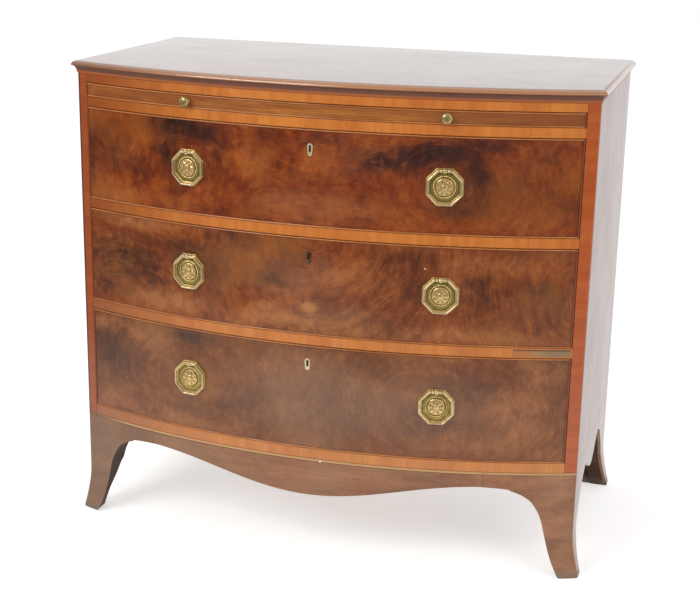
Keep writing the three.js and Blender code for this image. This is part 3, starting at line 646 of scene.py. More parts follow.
# Flame veneer on a drawer's front. The figure is arcs round a few ovals, with dark
# and light clouds over it, all in the front view. Ovals, clouds and flecks are
# (x, z, reach in x, reach in z), and then the strength of a cloud.
def flameVeneer(name, low, high, flame):
    material, spot = newMaterial(name)
    front = place(behindBow, spot)
    warp = noise(spot, (8, 1, 12), 4, 0.6, "Color") - (0.5, 0.5, 0.5)
    bent = spot + warp * flame["warp"]
    field, *others = [ovalAt(bent, *arc)["Distance"] for arc in flame["arcs"]]
    for distance in others:
        field = outOf("Math", {0: field, 1: distance, 2: 0.35}, operation="SMOOTH_MIN")
    curved = combine(0, field * flame["density"])
    streaks = noise(bent * (9, 0, 9) + curved, 1, 6, 0.65)
    hairs = noise(bent * (40, 0, 40) + curved * (1, 7, 1), 1, 3, 0.6)
    cloudy = noise(bent, (11, 1, 17), 4, 0.55)
    mottle = noise(bent, (75, 1, 55), 4, 0.62)
    value = streaks * flame["figure"] + hairs * 0.15 + mottle * 0.3 + cloudy * (0.55 - flame["figure"])
    colour = toneRamp(value, flame["tones"])
    golden = noise(spot, (7, 1, 9), 3, 0.5, shift=(0, 0, low * 7))
    colour = mixTone(smoothRange(golden, 0.48, 0.68, 0, flame["golden"][0]), colour, flame["golden"][1])
    # Patches of painted glare, like the pale floor's reflection, then light and dark clouds of the figure
    for kind, atDark, atLight in (("hazes", 0.9, 1), ("lights", 0.3, 1.2), ("clouds", 1.25, 0.6)):
        ragged = straightRange(value, 0.42, 0.58, atDark, atLight)
        for cloud in flame[kind]:
            mask = maths("MULTIPLY", ovalAt(bent, *cloud)["Mask"], ragged, use_clamp=True)
            colour = mixTone(mask, colour, flame[kind + "Tone"])
    colour = mixTone(smoothRange(hairs, 0.56, 0.7, 0, 0.13), colour, flame["lightsTone"])
    wood = place(grain, alongAxis(bent, "Z"), Scale=1.0)
    colour = mixTone(wood["Pores"] * 0.45, colour, (46, 24, 18))
    smears = place(handling, spot)["Smears"]
    # A pale haze over the front: wax smears, and painted glare that is stronger on the lower drawers
    smearsAndGlare = straightRange(smears, 0, 1, flame["smearsAndGlare"] * 0.5, flame["smearsAndGlare"])
    colour = mixTone(smearsAndGlare, colour, flame["hazesTone"])
    for fleck in flame["flecks"]:
        colour = flecked(spot, colour, fleck, (226, 206, 184))
    # Painted shadow: a dark line just inside the bead, as in the shaded gap beside it
    edge = fromEdge(spot, front["Height"], low, high)
    line = smoothRange(edge, bead["width"] + 0.0014, bead["width"] + 0.0004, 0, 0.5)
    colour = mixTone(line, colour, (60, 30, 18))
    inside = smoothRange(front["Behind"], 0.0012, 0.0018)
    colour = mixTone(inside, colour, plainWood(spot, "pine", "X")[0])
    rough = straightRange(smears, 0, 1, 0.3, 0.42) + inside * 0.35
    return finish(material, colour, rough, wood["Height"], 0.00004, coat=polish["coat"])


# Oak drawer linings. Between low and high, the front end of a side shows its lapped dovetails,
# saw-toothed up the joint: a tail where half - slope * depth - |share of the pitch - 0.5| > 0.
dovetail = {"tails": 5, "half": 0.42, "lap": 0.006, "slope": 6, "depth": 0.022, "below": 0.003}


def oakLining(name, axis, low=None, high=None):
    material, spot = newMaterial(name)
    colour, height = plainWood(spot, "oak", axis)
    if low is not None:
        front = place(behindBow, spot)
        share = maths("FRACT", (front["Height"] - low) / ((high - low) / dovetail["tails"]))
        flank = (front["Behind"] - dovetail["lap"]) * dovetail["slope"]
        tail = dovetail["half"] - flank - abs(share - 0.5)
        near = smoothRange(front["Behind"], dovetail["depth"] + 0.0002, dovetail["depth"] - 0.0002)
        colour = mixTone(smoothRange(tail, 0.006, -0.006) * near, colour, (150, 100, 62))
        joint = smoothRange(abs(tail), 0.012, 0.004) * near
        colour = mixTone(joint * 0.8, colour, (62, 42, 28))
    dirt = smoothRange(noise(spot, 5, 5, 0.65), 0.4, 0.78, 0, 0.5)
    colour = mixTone(dirt, colour, (124, 96, 66))
    return finish(material, colour, straightRange(dirt, 0, 0.5, 0.62, 0.78), height, 0.00012)


# Old lacquered brass: darker where the relief attribute says that dirt has settled
def brassFinish(name, bright, dull, metallic=0.7, relief=False):
    material, spot = newMaterial(name)
    mottle = noise(spot, 130, 4, 0.6)
    colour = mixTone(smoothRange(mottle, 0.35, 0.68), dull, bright)
    rough = straightRange(mottle, 0.3, 0.7, 0.4, 0.22)
    if relief:
        raised = outOf("Attribute", output="Fac", attribute_name="relief")
        broken = raised + straightRange(mottle, 0.3, 0.7, -0.12, 0.12)
        colour = mixTone(smoothRange(broken, 0.75, 0.35), colour, (172, 152, 82))
        dirt = smoothRange(broken, 0.35, 0.05, 0, 0.75)
        colour = mixTone(dirt, colour, (92, 74, 34))
        rough = rough + dirt * 0.2
    return finish(material, colour, rough, noise(spot, 900, 2, 0.5), 0.00003, metallic)


def ironFinish():
    material, spot = newMaterial("iron")
    mottle = noise(spot, 160, 5, 0.65)
    colour = toneRamp(mottle, [(0.3, (46, 42, 38)), (0.52, (82, 78, 74)), (0.72, (112, 84, 60))])
    rough = straightRange(mottle, 0.3, 0.7, 0.4, 0.7)
    return finish(material, colour, rough, noise(spot, 700, 3, 0.6), 0.00005, 0.7)


brass = brassFinish("brass", (255, 230, 184), (232, 202, 148), 0.85)
brassRelief = brassFinish("brassRelief", (244, 208, 150), (222, 182, 116), relief=True)
knobBrass = brassFinish("knobBrass", (212, 190, 132), (156, 136, 88))
paleBrass = brassFinish("paleBrass", (244, 230, 194), (206, 186, 146), 0.5)
dullBrass = brassFinish("dullBrass", (150, 122, 92), (84, 62, 46))
iron = ironFinish()
print("finishes ready:", len(bpy.data.materials))

# The top's moulded edge, as shares of the overhang and of the thickness: a cove and an ovolo.
# Each profile point moves the whole plan outline out by its share.
top = {"cove": (0.08, 0.59), "ovolo": (-0.2, 0.63), "bowSteps": 120}


def buildTop():
    turn = np.linspace(0, math.pi / 2, 11)
    inner, height = top["cove"]
    cove = np.column_stack([1 - (1 - inner) * np.cos(turn), height * np.sin(turn)])
    flat, start = top["ovolo"]
    ovolo = np.column_stack([flat + (1 - flat) * np.cos(turn), start + (1 - start) * np.sin(turn)])
    profile = np.vstack([cove, ovolo])
    share = np.linspace(-1, 1, top["bowSteps"] + 1)
    out = profile[:, :1] * case["topOverhang"]
    half = case["half"] + out
    x = np.hstack([half * share, half, -half])
    y = np.hstack([bowY(half * share, out), np.full_like(half, backY), np.full_like(half, backY)])
    z = np.broadcast_to(topLow.z + profile[:, 1:] * (topHigh.z - topLow.z), x.shape)
    piece = makePiece("topBoard", [grid(np.stack([x, y, z], -1))], 28)
    seatOn(piece, "carcase", topWood, "top_mahogany", "top_board")


buildTop()


# A rail or the bottom board in plan: the bowed edge between the sides, then ends let into them
def railPlan(grow=0.0, back=cornerY + case["railDepth"]):
    frontHalf = insideHalf - seat
    housed = insideHalf + case["railHousing"] + grow
    shoulder = float(bowY(insideHalf)) + case["housingSetBack"] - grow
    tail = [(frontHalf, shoulder), (housed, shoulder), (housed, back + grow),
            (-housed, back + grow), (-housed, shoulder), (-frontHalf, shoulder)]
    return np.vstack([bowRun(-frontHalf, frontHalf), tail])


rails = ["top_rail", "slide_rail", "drawer_rail_upper", "drawer_rail_lower"]
veneerLoss = {"from": 0.337, "to": 0.428, "low": 0.3975, "high": 0.4098, "depth": 0.0006}
boltPlace = {"y": float(bowY(0)) + 0.018, "halfWidth": 0.008, "halfThickness": 0.003, "depth": 0.009}


# A ragged strip where the veneer has come away from the lower drawer rail
def lossCutter():
    x = np.linspace(veneerLoss["from"], veneerLoss["to"], 40)
    ragged = 0.0004 * np.sin(x * 700) + 0.0003 * np.sin(x * 1900 + 1)
    low = veneerLoss["low"] + ragged
    high = veneerLoss["high"] - ragged[::-1]
    near, far = bowY(x, 0.003), bowY(x, -veneerLoss["depth"])
    corners = [(near, low), (far, low), (far, high), (near, high)]
    return cutter(grid(np.stack([np.column_stack([x, y, z]) for y, z in corners], 1)))


def buildRail(name):
    low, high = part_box(name)
    loss = (veneerLoss["from"], veneerLoss["to"]) if name == "drawer_rail_lower" else None
    piece = makePiece(name.replace("_", "-"), [prism(railPlan(), low.z, high.z)])
    cutters = []
    if name != "top_rail":
        y, wide, thick = boltPlace["y"], boltPlace["halfWidth"], boltPlace["halfThickness"]
        hole = (-wide, y - thick, low.z - past), (wide, y + thick, low.z + boltPlace["depth"])
        cutters.append(boxCutter(*hole))
    if loss:
        cutters.append(lossCutter())
    if cutters:
        carve(piece, cutters)
    ease(piece, 0.0004)
    material = banding(name.title().replace("_", ""), low.z, high.z, loss=loss)
    seatOn(piece, "carcase", material, "banding", name)


for name in rails:
    buildRail(name)
bottomLow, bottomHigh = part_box("bottom_board")
piece = makePiece("bottomBoard", [prism(railPlan(back=backFace - seat), bottomLow.z, bottomHigh.z)])
bottomBanding = banding("bottomBanding", bottomLow.z - 0.002, bottomHigh.z, foot=True)
seatOn(ease(piece, 0.0004), "carcase", bottomBanding, "banding", "bottom_board")
print("top, rails and bottom board made")


# One side in plan: the bowed front edge with its outer corner rounded
def sidePlan():
    start = case["half"] - case["cornerRound"]
    corner = np.array([case["half"], float(bowY(case["half"]))])
    rounded = rounding(np.array([start, float(bowY(start))]), corner, corner + (0, case["cornerRound"]), 8)
    edge = bowRun(insideHalf, start, steps=6)[:-1]
    return np.vstack([edge, rounded, [(case["half"], backY), (insideHalf, backY)]])


# A side, with housings a hair larger than the rails and boards that sit in them, and the back's rebate
def buildSide(word):
    low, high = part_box(f"side_{word}")
    side = prism(sidePlan(), low.z, high.z)
    piece = makePiece(f"side{word.title()}", [side if word == "right" else mirrored(side)])
    cutters = [cutter(prism(railPlan(seat, backFace - seat), low.z - past, bottomHigh.z + seat))]
    for name in rails:
        railLow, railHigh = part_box(name)
        cutters.append(cutter(prism(railPlan(seat), railLow.z - seat, railHigh.z + seat)))
    half = insideHalf + case["dustboardGroove"] + seat
    for name in ("slide", "upper", "lower"):
        boardLow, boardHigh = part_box(f"dustboard_{name}")
        cutters.append(boxCutter((-half, boardLow.y - seat, boardLow.z - seat),
                                 (half, boardHigh.y + seat, boardHigh.z + seat)))
    rebate = insideHalf + case["backRebate"]
    cutters.append(boxCutter((-rebate, backFace - seat, low.z - past), (rebate, backY + past, high.z + past)))
    carve(piece, cutters)
    seatOn(ease(piece, 0.0005), "carcase", sideMahogany, "mahogany", f"side_{word}")


# The back: boards laid across, each with chamfered edges that make a V at the joint. The profile
# up the back gives how deep its face lies, and it runs the full width.
back = {"boards": 4, "vee": 0.0022, "deep": 0.0024, "nailIn": 0.006, "nailUp": 0.03}


def buildBack(material):
    low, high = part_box("back_panel")
    profile = [(low.z, 0.0)]
    for joint in np.linspace(low.z, high.z, back["boards"] + 1)[1:-1]:
        profile += [(joint - back["vee"], 0.0), (joint, back["deep"]), (joint + back["vee"], 0.0)]
    z, deep = np.array(profile + [(high.z, 0.0)]).T
    section = np.vstack([np.column_stack([high.y - deep, z]), [(low.y, high.z), (low.y, low.z)]])
    rows = [np.insert(section, 0, x, axis=1) for x in np.linspace(low.x, high.x, 9)]
    piece = makePiece("backBoards", [grid(np.array(rows))], 20)
    seatOn(piece, "carcase", material, "pine", "back_panel")


# Rough pine, a shade different on each board, with two rusty nails at each end of a board
def backFinish():
    material, spot = newMaterial("backPine")
    low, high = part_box("back_panel")
    x, _, z = split(spot)
    pitch = (high.z - low.z) / back["boards"]
    boards = (z - low.z) / pitch
    board = maths("FLOOR", boards)
    colour, height = plainWood(spot + combine(board * 0.7, board), "backPine")
    shade = noise(combine(board), 3.7, 0)
    colour = mixTone(straightRange(shade, 0.3, 0.7, 0, 0.5), colour, (142, 112, 80))
    stain = smoothRange(noise(spot, 5, 5, 0.65), 0.45, 0.75, 0, 0.5)
    colour = mixTone(stain, colour, (112, 88, 64))
    level = maths("FRACT", boards) * pitch
    nailZ = least(abs(level - back["nailUp"]), abs(level - (pitch - back["nailUp"])))
    away = lengthOf(combine(high.x - back["nailIn"] - abs(x), nailZ))
    nail = smoothRange(away, 0.0026, 0.0021)
    colour = mixTone(smoothRange(away, 0.008, 0.002, 0, 0.5), colour, (86, 58, 40))
    colour = mixTone(nail, colour, (56, 48, 44))
    rough = straightRange(stain, 0, 0.5, 0.68, 0.82)
    return finish(material, colour, rough, height - nail * 4, 0.00015)


buildSide("left")
buildSide("right")
buildBack(backFinish())
for word in ("slide", "upper", "lower"):
    dress(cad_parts[f"dustboard_{word}"], pineAlongX)
for word in ("left", "right"):
    dress(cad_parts[f"kicker_{word}"], pineAlongY)
print("sides and back made")

# Feet and aprons. The leg tables give, at shares of the arch's height, how far each wing reaches
# beyond the toe as a share of its length there.
plinth = {"thickness": 0.016, "frontWing": 0.15, "sideWing": 0.125, "backWing": 0.11, "toe": 0.018,
          "backToe": 0.036, "arch": 0.165, "sideArchShare": 0.957, "drop": 0.04, "sideDrop": 0.034,
          "block": 0.042, "blockShare": 0.92, "toeRound": 0.004, "wingWear": 0.6}
legHeight = [0, 0.1, 0.22, 0.37, 0.53, 0.67, 0.78, 0.89, 0.957, 0.99, 1]
frontReach = [0, 0.062, 0.124, 0.18, 0.231, 0.276, 0.342, 0.462, 0.635, 0.8, 1]
sideReach = [0, 0.04, 0.1, 0.19, 0.28, 0.43, 0.58, 0.76, 1, 1, 1]
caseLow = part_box("front_foot_right")[1].z


# One curve through a table without kinks: cubic pieces whose slopes are the table's own
def smoothTable(at, places, values):
    places, values = np.array(places, float), np.array(values, float)
    slopes = np.gradient(values, places)
    i = np.clip(np.searchsorted(places, at, side="right") - 1, 0, len(places) - 2)
    step = places[i + 1] - places[i]
    t = (at - places[i]) / step
    rise = (2 * t ** 3 - 3 * t ** 2 + 1) * values[i] + (3 * t ** 2 - 2 * t ** 3) * values[i + 1]
    return rise + step * ((t ** 3 - 2 * t ** 2 + t) * slopes[i] + (t ** 3 - t ** 2) * slopes[i + 1])


# How much of a toe is worn away round its arris on the floor
def wornAt(z):
    radius = plinth["toeRound"]
    return radius - np.sqrt(radius ** 2 - np.maximum(0, radius - z) ** 2)


def flareAt(z, furthest):
    return furthest * np.maximum(0, 1 - z / flare["height"]) ** flare["power"] - wornAt(z)


# A right-hand bracket foot as a stack of plan rings. face(x) is the outer face of the wing along
# X, reach(share) that wing's length; the corner sweeps out by the flare at each height.
def footSurface(face, reach, forward, rounded, wingSteps=14):
    thick = plinth["thickness"]
    toe = np.linspace(0, 1, 7) ** 2 * plinth["toeRound"] / plinth["arch"]
    share = np.concatenate([toe[:-1], np.linspace(toe[-1], 0.9, 28)[:-1], np.linspace(0.9, 1, 17)])
    z = np.append(share * plinth["arch"], caseLow)
    share = np.append(share, 1.0)
    span = np.clip(smoothTable(share, legHeight, sideReach), 0, 1)
    sideLength = plinth["toe"] + span * (plinth["sideWing"] - plinth["toe"])
    wing = reach(share) - plinth["wingWear"] * wornAt(z)
    out, side = flareAt(z, forward), flareAt(z, flare["side"])
    shorter = np.minimum(sideLength, wing) - thick
    block = thick + np.minimum(shorter * plinth["blockShare"], plinth["block"])
    cornerX, end = case["half"] + side, case["half"] - wing
    t = np.linspace(0, 1, wingSteps, endpoint=False)[None]
    wingX = end[:, None] + (cornerX - rounded - end)[:, None] * t
    wingY = face(wingX) - out[:, None]
    before = np.stack([cornerX - rounded, face(cornerX - rounded) - out], 1)[:, None]
    bend = corner = np.stack([cornerX, face(cornerX) - out], 1)[:, None]
    if rounded:
        bend = rounding(before, corner, corner + (0, rounded), 6)
    endY = (cornerY if rounded else 0.0) + sideLength
    blockY = (cornerY if rounded else 0.0) + block
    inner = np.full_like(z, case["half"] - thick)
    flatX = np.stack([cornerX, inner, inner, case["half"] - block], 1)
    t = np.linspace(0, 1, wingSteps)[None]
    backX = (case["half"] - block)[:, None] + (end - case["half"] + block)[:, None] * t
    x = np.hstack([wingX, bend[..., 0], flatX, backX])
    y = np.hstack([wingY, bend[..., 1], np.stack([endY, endY, blockY, blockY], 1), face(backX) + thick])
    return np.stack([x, y, np.broadcast_to(z[:, None], x.shape)], -1)


# The same piece on the right and, mirrored, on the left
def seatPair(name, nodeName, surface, width, material, sharpAngle=38):
    for word in ("left", "right"):
        made = surface if word == "right" else mirrored(surface)
        piece = ease(makePiece(f"{name}{word.title()}", [made], sharpAngle), width)
        seatOn(piece, "carcase", material, "mahogany", f"{nodeName}_{word}")


def buildFeet():
    def frontWing(share):
        span = np.clip(smoothTable(share, legHeight, frontReach), 0, 1)
        return plinth["toe"] + span * (plinth["frontWing"] - plinth["toe"])

    def backWing(share):
        return plinth["backToe"] + share * (plinth["backWing"] - plinth["backToe"])

    front = footSurface(bowY, frontWing, flare["front"], case["cornerRound"])
    rear = footSurface(np.zeros_like, backWing, 0.0, 0.0) * (1, -1, 1) + (0, backY, 0)
    seatPair("frontFoot", "front_foot", grid(front), 0.0003, footWood, 30)
    seatPair("backFoot", "back_foot", grid(rear), 0.0003, footWood, 30)


# Aprons hang a raised cosine: lower edge = ends - drop * (1 + cos(pi * share)) / 2
def apronEdge(steps, ends, drop):
    share = np.linspace(-1, 1, steps + 1)
    return share, ends - drop * (1 + np.cos(math.pi * share)) / 2


def buildAprons():
    share, low = apronEdge(96, plinth["arch"], plinth["drop"])
    x = share * (case["half"] - plinth["frontWing"] - seat)
    near, far, high = bowY(x), bowY(x) + plinth["thickness"], np.full_like(x, caseLow)
    corners = [(near, low), (near, high), (far, high), (far, low)]
    surface = grid(np.stack([np.column_stack([x, y, z]) for y, z in corners], 1))
    seatOn(ease(makePiece("frontApron", [surface]), 0.0003), "carcase", footWood, "mahogany", "front_apron")
    sideLow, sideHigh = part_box("side_apron_right")
    y = np.linspace(sideLow.y, sideHigh.y, 65)
    low = apronEdge(64, plinth["arch"] * plinth["sideArchShare"], plinth["sideDrop"])[1]
    high = np.full_like(y, sideHigh.z)
    corners = [(sideHigh.x, low), (sideHigh.x, high), (sideLow.x, high), (sideLow.x, low)]
    surface = grid(np.stack([np.column_stack([np.full_like(y, x), y, z]) for x, z in corners], 1))
    seatPair("sideApron", "side_apron", surface, 0.0004, sideApronWood)


buildFeet()
buildAprons()
print("feet and aprons made")

handle = {"spacing": 0.438, "postRise": 0.0265, "plateApothem": 0.0305, "dome": 0.0056, "postRadius": 0.004,
          "postLength": 0.0095, "shank": 0.0025, "standoff": 0.0056, "ringApothem": 0.0274, "wire": 0.0015,
          "knuckle": 0.0029, "pin": 0.0012, "pinReach": 0.0024, "cornerShare": 0.14, "shankEnd": 0.026,
          "boreEnd": 0.03}
nut = {"gap": 0.0002, "radius": 0.0048, "edge": 0.0022, "flat": 0.0042, "height": 0.0028}
knob = {"radius": 0.009, "length": 0.016, "shank": 0.0025, "shankLength": 0.014,
        "shares": [(0.55, 0), (0.58, 0.05), (0.5, 0.1), (0.4, 0.16), (0.34, 0.26), (0.33, 0.38), (0.46, 0.46),
                   (0.78, 0.51), (0.94, 0.57), (1, 0.65), (0.98, 0.74), (0.88, 0.85), (0.68, 0.94),
                   (0.5, 0.965), (0.42, 0.97), (0.3, 0.985), (0.12, 1)]}
places = {"left": -handle["spacing"] / 2, "right": handle["spacing"] / 2}


# Holes bored square to the bow for a pair of shanks
def boreCutters(z, radius, deep):
    hole = turned([(radius + seat, -0.006), (radius + seat, deep)], 24)
    return [cutter(ontoBow(hole, x, z)) for x in places.values()]


def buildBead(name, body, low, high):
    seatOn(makePiece(name, [beadFrame(low, high)], 50), body, beadWood, "banding")


# The brushing slide: one board with a bowed front edge, a bead round it, and two knobs
def buildSlide():
    low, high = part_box("slide_board")
    plan = np.vstack([bowRun(-slidingHalf, slidingHalf), [(slidingHalf, high.y), (-slidingHalf, high.y)]])
    piece = makePiece("slideBoard", [prism(plan, low.z, high.z)])
    middle = (low.z + high.z) / 2
    carve(piece, boreCutters(middle, knob["shank"], knob["shankLength"] + seat))
    seatOn(ease(piece, 0.0004), "slide", slideFinish(low.z, high.z), "mahogany", "slide_board")
    buildBead("slideBead", "slide", low.z, high.z)
    shank = [(knob["shank"], knob["shankLength"]), (knob["shank"], -seat)]
    body = [(share * knob["radius"], -seat - along * knob["length"]) for share, along in knob["shares"]]
    for word, x in places.items():
        piece = makePiece(f"slideKnob{word.title()}", [ontoBow(turned(shank + body), x, middle)], 30)
        seatOn(piece, "slide", knobBrass, "brass", f"slide_knob_{word}")


# The slide's front between its beads, with a line of painted shadow inside them; its upper face has clamped
# ends
def slideFinish(low, high, clampWidth=0.04):
    material, spot = newMaterial("slideFront")
    front = place(behindBow, spot)
    colour, height = plainWood(spot, "slide")
    x = split(spot)[0]
    dim = most(smoothRange(x, -0.08, -0.26, 0, 0.5), smoothRange(x, 0.08, 0.26, 0, 0.75))
    colour = mixTone(dim, colour, (120, 58, 26))
    streak = noise(spot, (5, 60, 500), 4, 0.6)
    colour = mixTone(smoothRange(streak, 0.48, 0.64, 0, 0.45), colour, (112, 54, 24))
    across, seam = abs(x), slidingHalf - clampWidth
    behind = smoothRange(front["Behind"], 0.002, 0.003)
    ends = plainWood(spot, "slideEnds", "Y")[0]
    colour = mixTone(smoothRange(across, seam - 0.0002, seam + 0.0002) * behind, colour, ends)
    colour = mixTone(smoothRange(abs(across - seam), 0.0005, 0.0001) * behind, colour, (52, 28, 18))
    # Painted shadow: a dark line just inside the bead, as in the shaded gap beside it
    edge = fromEdge(spot, front["Height"], low, high)
    line = smoothRange(edge, bead["width"] + 0.0012, bead["width"] + 0.0004)
    colour = mixTone(line * smoothRange(front["Behind"], 0.002, 0.001, 0, 0.4), colour, (64, 32, 18))
    rough = straightRange(place(handling, spot)["Smears"], 0, 1, 0.3, 0.42)
    return finish(material, colour, rough, height, 0.00006, coat=polish["coat"])


buildSlide()
print("brushing slide made")

drawerFront = {"thickness": 0.022, "lap": 0.009, "lapDepth": 0.006, "groove": 0.005, "grooveReach": 0.004,
               "keyhole": (0.0018, 0.0022, 0.009), "keyDrop": 0.028}
escutcheon = {"head": 0.0049, "foot": 0.0041, "drop": 0.0115, "thickness": 0.002, "arris": 0.00025}


# A keyhole in the front view: a round eye over a narrower slot
def keyholeOutline(z, steps=24):
    side, radius, drop = drawerFront["keyhole"]
    meet = math.asin(side / radius)
    angle = -math.pi / 2 + meet + (2 * math.pi - 2 * meet) * np.linspace(0, 1, steps + 1)
    eye = np.column_stack([radius * np.cos(angle), z + radius * np.sin(angle)])
    return np.vstack([[(-side, z - drop), (side, z - drop)], eye])


# The escutcheon: a wide round head over a narrower round foot, each half a circle
def escutcheonOutline(z, grow=0.0, steps=20):
    outline = []
    for end, start, centre in (("head", 0, z), ("foot", math.pi, z - escutcheon["drop"])):
        angle = np.linspace(start, start + math.pi, steps + 1)
        radius = escutcheon[end] + grow
        outline.append(np.column_stack([radius * np.cos(angle), radius * np.sin(angle) + centre]))
    return np.vstack(outline)


# A front in plan: the bowed face, and ends rebated so that the sides stop behind a lap
def frontPlan():
    notch = slidingHalf - drawerFront["lap"] - seat
    lap = -drawerFront["lapDepth"]
    return np.vstack([bowRun(-slidingHalf, slidingHalf), bowRun(slidingHalf, notch, lap, 1),
                      bowRun(notch, -notch, -drawerFront["thickness"]), bowRun(-notch, -slidingHalf, lap, 1)])


# The plate of a handle. Rows go from the rim in; each is (octagon share, radius share, height
# share, lobes, lobe height): radius = apothem * share, stretched to the octagon by
# 1 / cos(angle from the nearest side's middle), and the lobes ripple the height round the row.
plateRows = [(1, 0.985, 0, 0, 0), (1, 1, 0.04, 0, 0), (1, 1, 0.13, 0, 0), (1, 0.985, 0.19, 0, 0),
             (1, 0.955, 0.21, 0, 0), (1, 0.94, 0.16, 0, 0), (1, 0.925, 0.16, 0, 0), (1, 0.9, 0.26, 0, 0),
             (0.98, 0.87, 0.33, 0, 0), (0.95, 0.84, 0.33, 0, 0), (0.85, 0.81, 0.27, 0, 0),
             (0.6, 0.785, 0.2, 0, 0), (0.3, 0.76, 0.19, 0, 0), (0.1, 0.73, 0.2, 0, 0), (0, 0.69, 0.23, 0, 0),
             (0, 0.65, 0.25, 0, 0), (0, 0.62, 0.24, 0, 0), (0, 0.605, 0.27, 36, 0.03),
             (0, 0.59, 0.36, 36, 0.1), (0, 0.57, 0.42, 36, 0.14), (0, 0.55, 0.37, 36, 0.1),
             (0, 0.535, 0.27, 36, 0.03), (0, 0.52, 0.24, 0, 0), (0, 0.5, 0.26, 0, 0), (0, 0.48, 0.4, 0, 0),
             (0, 0.46, 0.52, 0, 0), (0, 0.435, 0.58, 0, 0), (0, 0.41, 0.6, 8, 0.06),
             (0, 0.37, 0.66, 8, 0.16), (0, 0.32, 0.72, 8, 0.2), (0, 0.27, 0.76, 8, 0.16),
             (0, 0.23, 0.77, 8, 0.08), (0, 0.195, 0.75, 0, 0), (0, 0.18, 0.78, 0, 0), (0, 0.165, 0.88, 0, 0),
             (0, 0.13, 0.96, 0, 0), (0, 0.07, 1, 0, 0)]
# How bright a plate is rubbed at shares of its radius
rubbed = {"at": [0.16, 0.18, 0.22, 0.44, 0.49, 0.53, 0.57, 0.61, 0.66, 0.76, 0.8, 0.86, 0.92, 0.96, 1],
          "bright": [1, 0.4, 0.85, 0.8, 0.1, 0.3, 0.95, 0.25, 0.5, 0.35, 0.55, 0.95, 0.3, 0.7, 0.1]}


def plateSurface(sides=144):
    octagon, radius, height, lobes, swell = np.array(plateRows, float).T[..., None]
    angle = np.linspace(0, 2 * math.pi, sides, endpoint=False)[None]
    fromSide = (angle + math.pi / 8) % (math.pi / 4) - math.pi / 8
    reach = radius * (1 + octagon * (1 / np.cos(fromSide) - 1)) * handle["plateApothem"]
    ripple = swell * (np.abs(np.cos(lobes * angle / 2)) - 1)
    rise = np.clip(height + np.where(lobes > 0, ripple, 0), 0, 1)
    points = np.stack([reach * np.cos(angle), -(seat + rise * handle["dome"]), reach * np.sin(angle)], -1)
    local = np.convolve(np.pad(height[:, 0], 4, mode="edge"), np.ones(9) / 9, "valid")[:, None]
    base = np.interp(radius[:, 0], rubbed["at"], rubbed["bright"])
    return points, np.clip(base[:, None] + 4 * (rise - local), 0, 1)


def buildPlate(x, z, name):
    points, relief = plateSurface()
    ends = [(handle["shank"], handle["shankEnd"]), (handle["shank"], -0.001)]
    shank = lifted(turned(ends, 24), handle["postRise"])
    piece = makePiece(name, [ontoBow(grid(points), x, z), ontoBow(shank, x, z)], 50)
    value = np.full(len(piece.data.vertices), 0.7, np.float32)
    value[:relief.size] = relief.ravel()
    piece.data.attributes.new("relief", "FLOAT", "POINT").data.foreach_set("value", value)
    return piece


# The post: a collar, a waist and a round head, bored across for the ring's pins
def buildPost(x, z, name):
    radius, length = handle["postRadius"], handle["postLength"]
    shares = [(1, 0.03), (1, 0.1), (0.8, 0.16), (0.7, 0.24), (0.82, 0.32), (0.97, 0.45), (1, 0.58),
              (0.97, 0.72), (0.85, 0.86), (0.6, 0.96), (0.3, 1)]
    profile = [(share * radius, -along * length) for share, along in shares]
    post = lifted(turned(profile, 40), handle["postRise"])
    bore, faces = turned([(handle["pin"] + seat, -0.01), (handle["pin"] + seat, 0.01)], 24)
    bore = bore[:, [1, 0, 2]] + (0, -handle["standoff"], handle["postRise"])
    piece = makePiece(name, [ontoBow(post, x, z)], 40)
    carve(piece, [cutter(ontoBow((bore, faces), x, z))], 40)
    return piece


# The ring: an octagon of wire whose corners are a little rounded. It is swept round from one pin
# to the other, and each section stands square to the path: centre + across * cos + out * sin.
def ringSurface(sides=20):
    half, apothem = math.pi / 8, handle["ringApothem"]
    shoulder = handle["postRadius"] + seat
    path, radii = [], []
    for px, radius in ((handle["pinReach"], handle["pin"]), (shoulder, handle["pin"]),
                       (shoulder + 0.0001, handle["knuckle"] * 0.8), (shoulder + 0.0009, handle["knuckle"]),
                       (shoulder + 0.0026, handle["knuckle"]), (shoulder + 0.0036, handle["knuckle"] * 0.8),
                       (shoulder + 0.004, handle["wire"])):
        path.append((px, 0.0))
        radii.append(radius)
    ends = [(-px, pz) for px, pz in path][::-1], radii[::-1]
    for i in range(8):
        angle = math.pi / 2 - (2 * i + 1) * half
        corner = apothem / math.cos(half) * np.array([math.cos(angle), math.sin(angle)]) - (0, apothem)
        flats = [np.array([math.cos(turn), math.sin(turn)]) * apothem - (0, apothem)
                 for turn in (angle + half, angle - half)]
        start, end = (corner + handle["cornerShare"] * (flat - corner) for flat in flats)
        path += rounding(start, corner, end, 4).tolist()
        radii += [handle["wire"]] * 5
    path, radii = np.array(path + ends[0]), np.array(radii + ends[1])[:, None]
    step = np.diff(path, axis=0)
    step /= np.maximum(np.linalg.norm(step, axis=1, keepdims=True), 1e-9)
    way = np.vstack([step[:1], step[:-1] + step[1:], step[-1:]])
    way /= np.linalg.norm(way, axis=1, keepdims=True)
    turn = 2 * math.pi * (np.arange(sides) + 0.5) / sides
    sideways = np.cos(turn)[None] * radii
    x = path[:, :1] - way[:, 1:] * sideways
    z = path[:, 1:] + way[:, :1] * sideways
    y = np.broadcast_to(np.sin(turn)[None] * radii, x.shape)
    points, faces = grid(np.stack([x, y, z], -1))
    return points + (0, -handle["standoff"], handle["postRise"]), faces


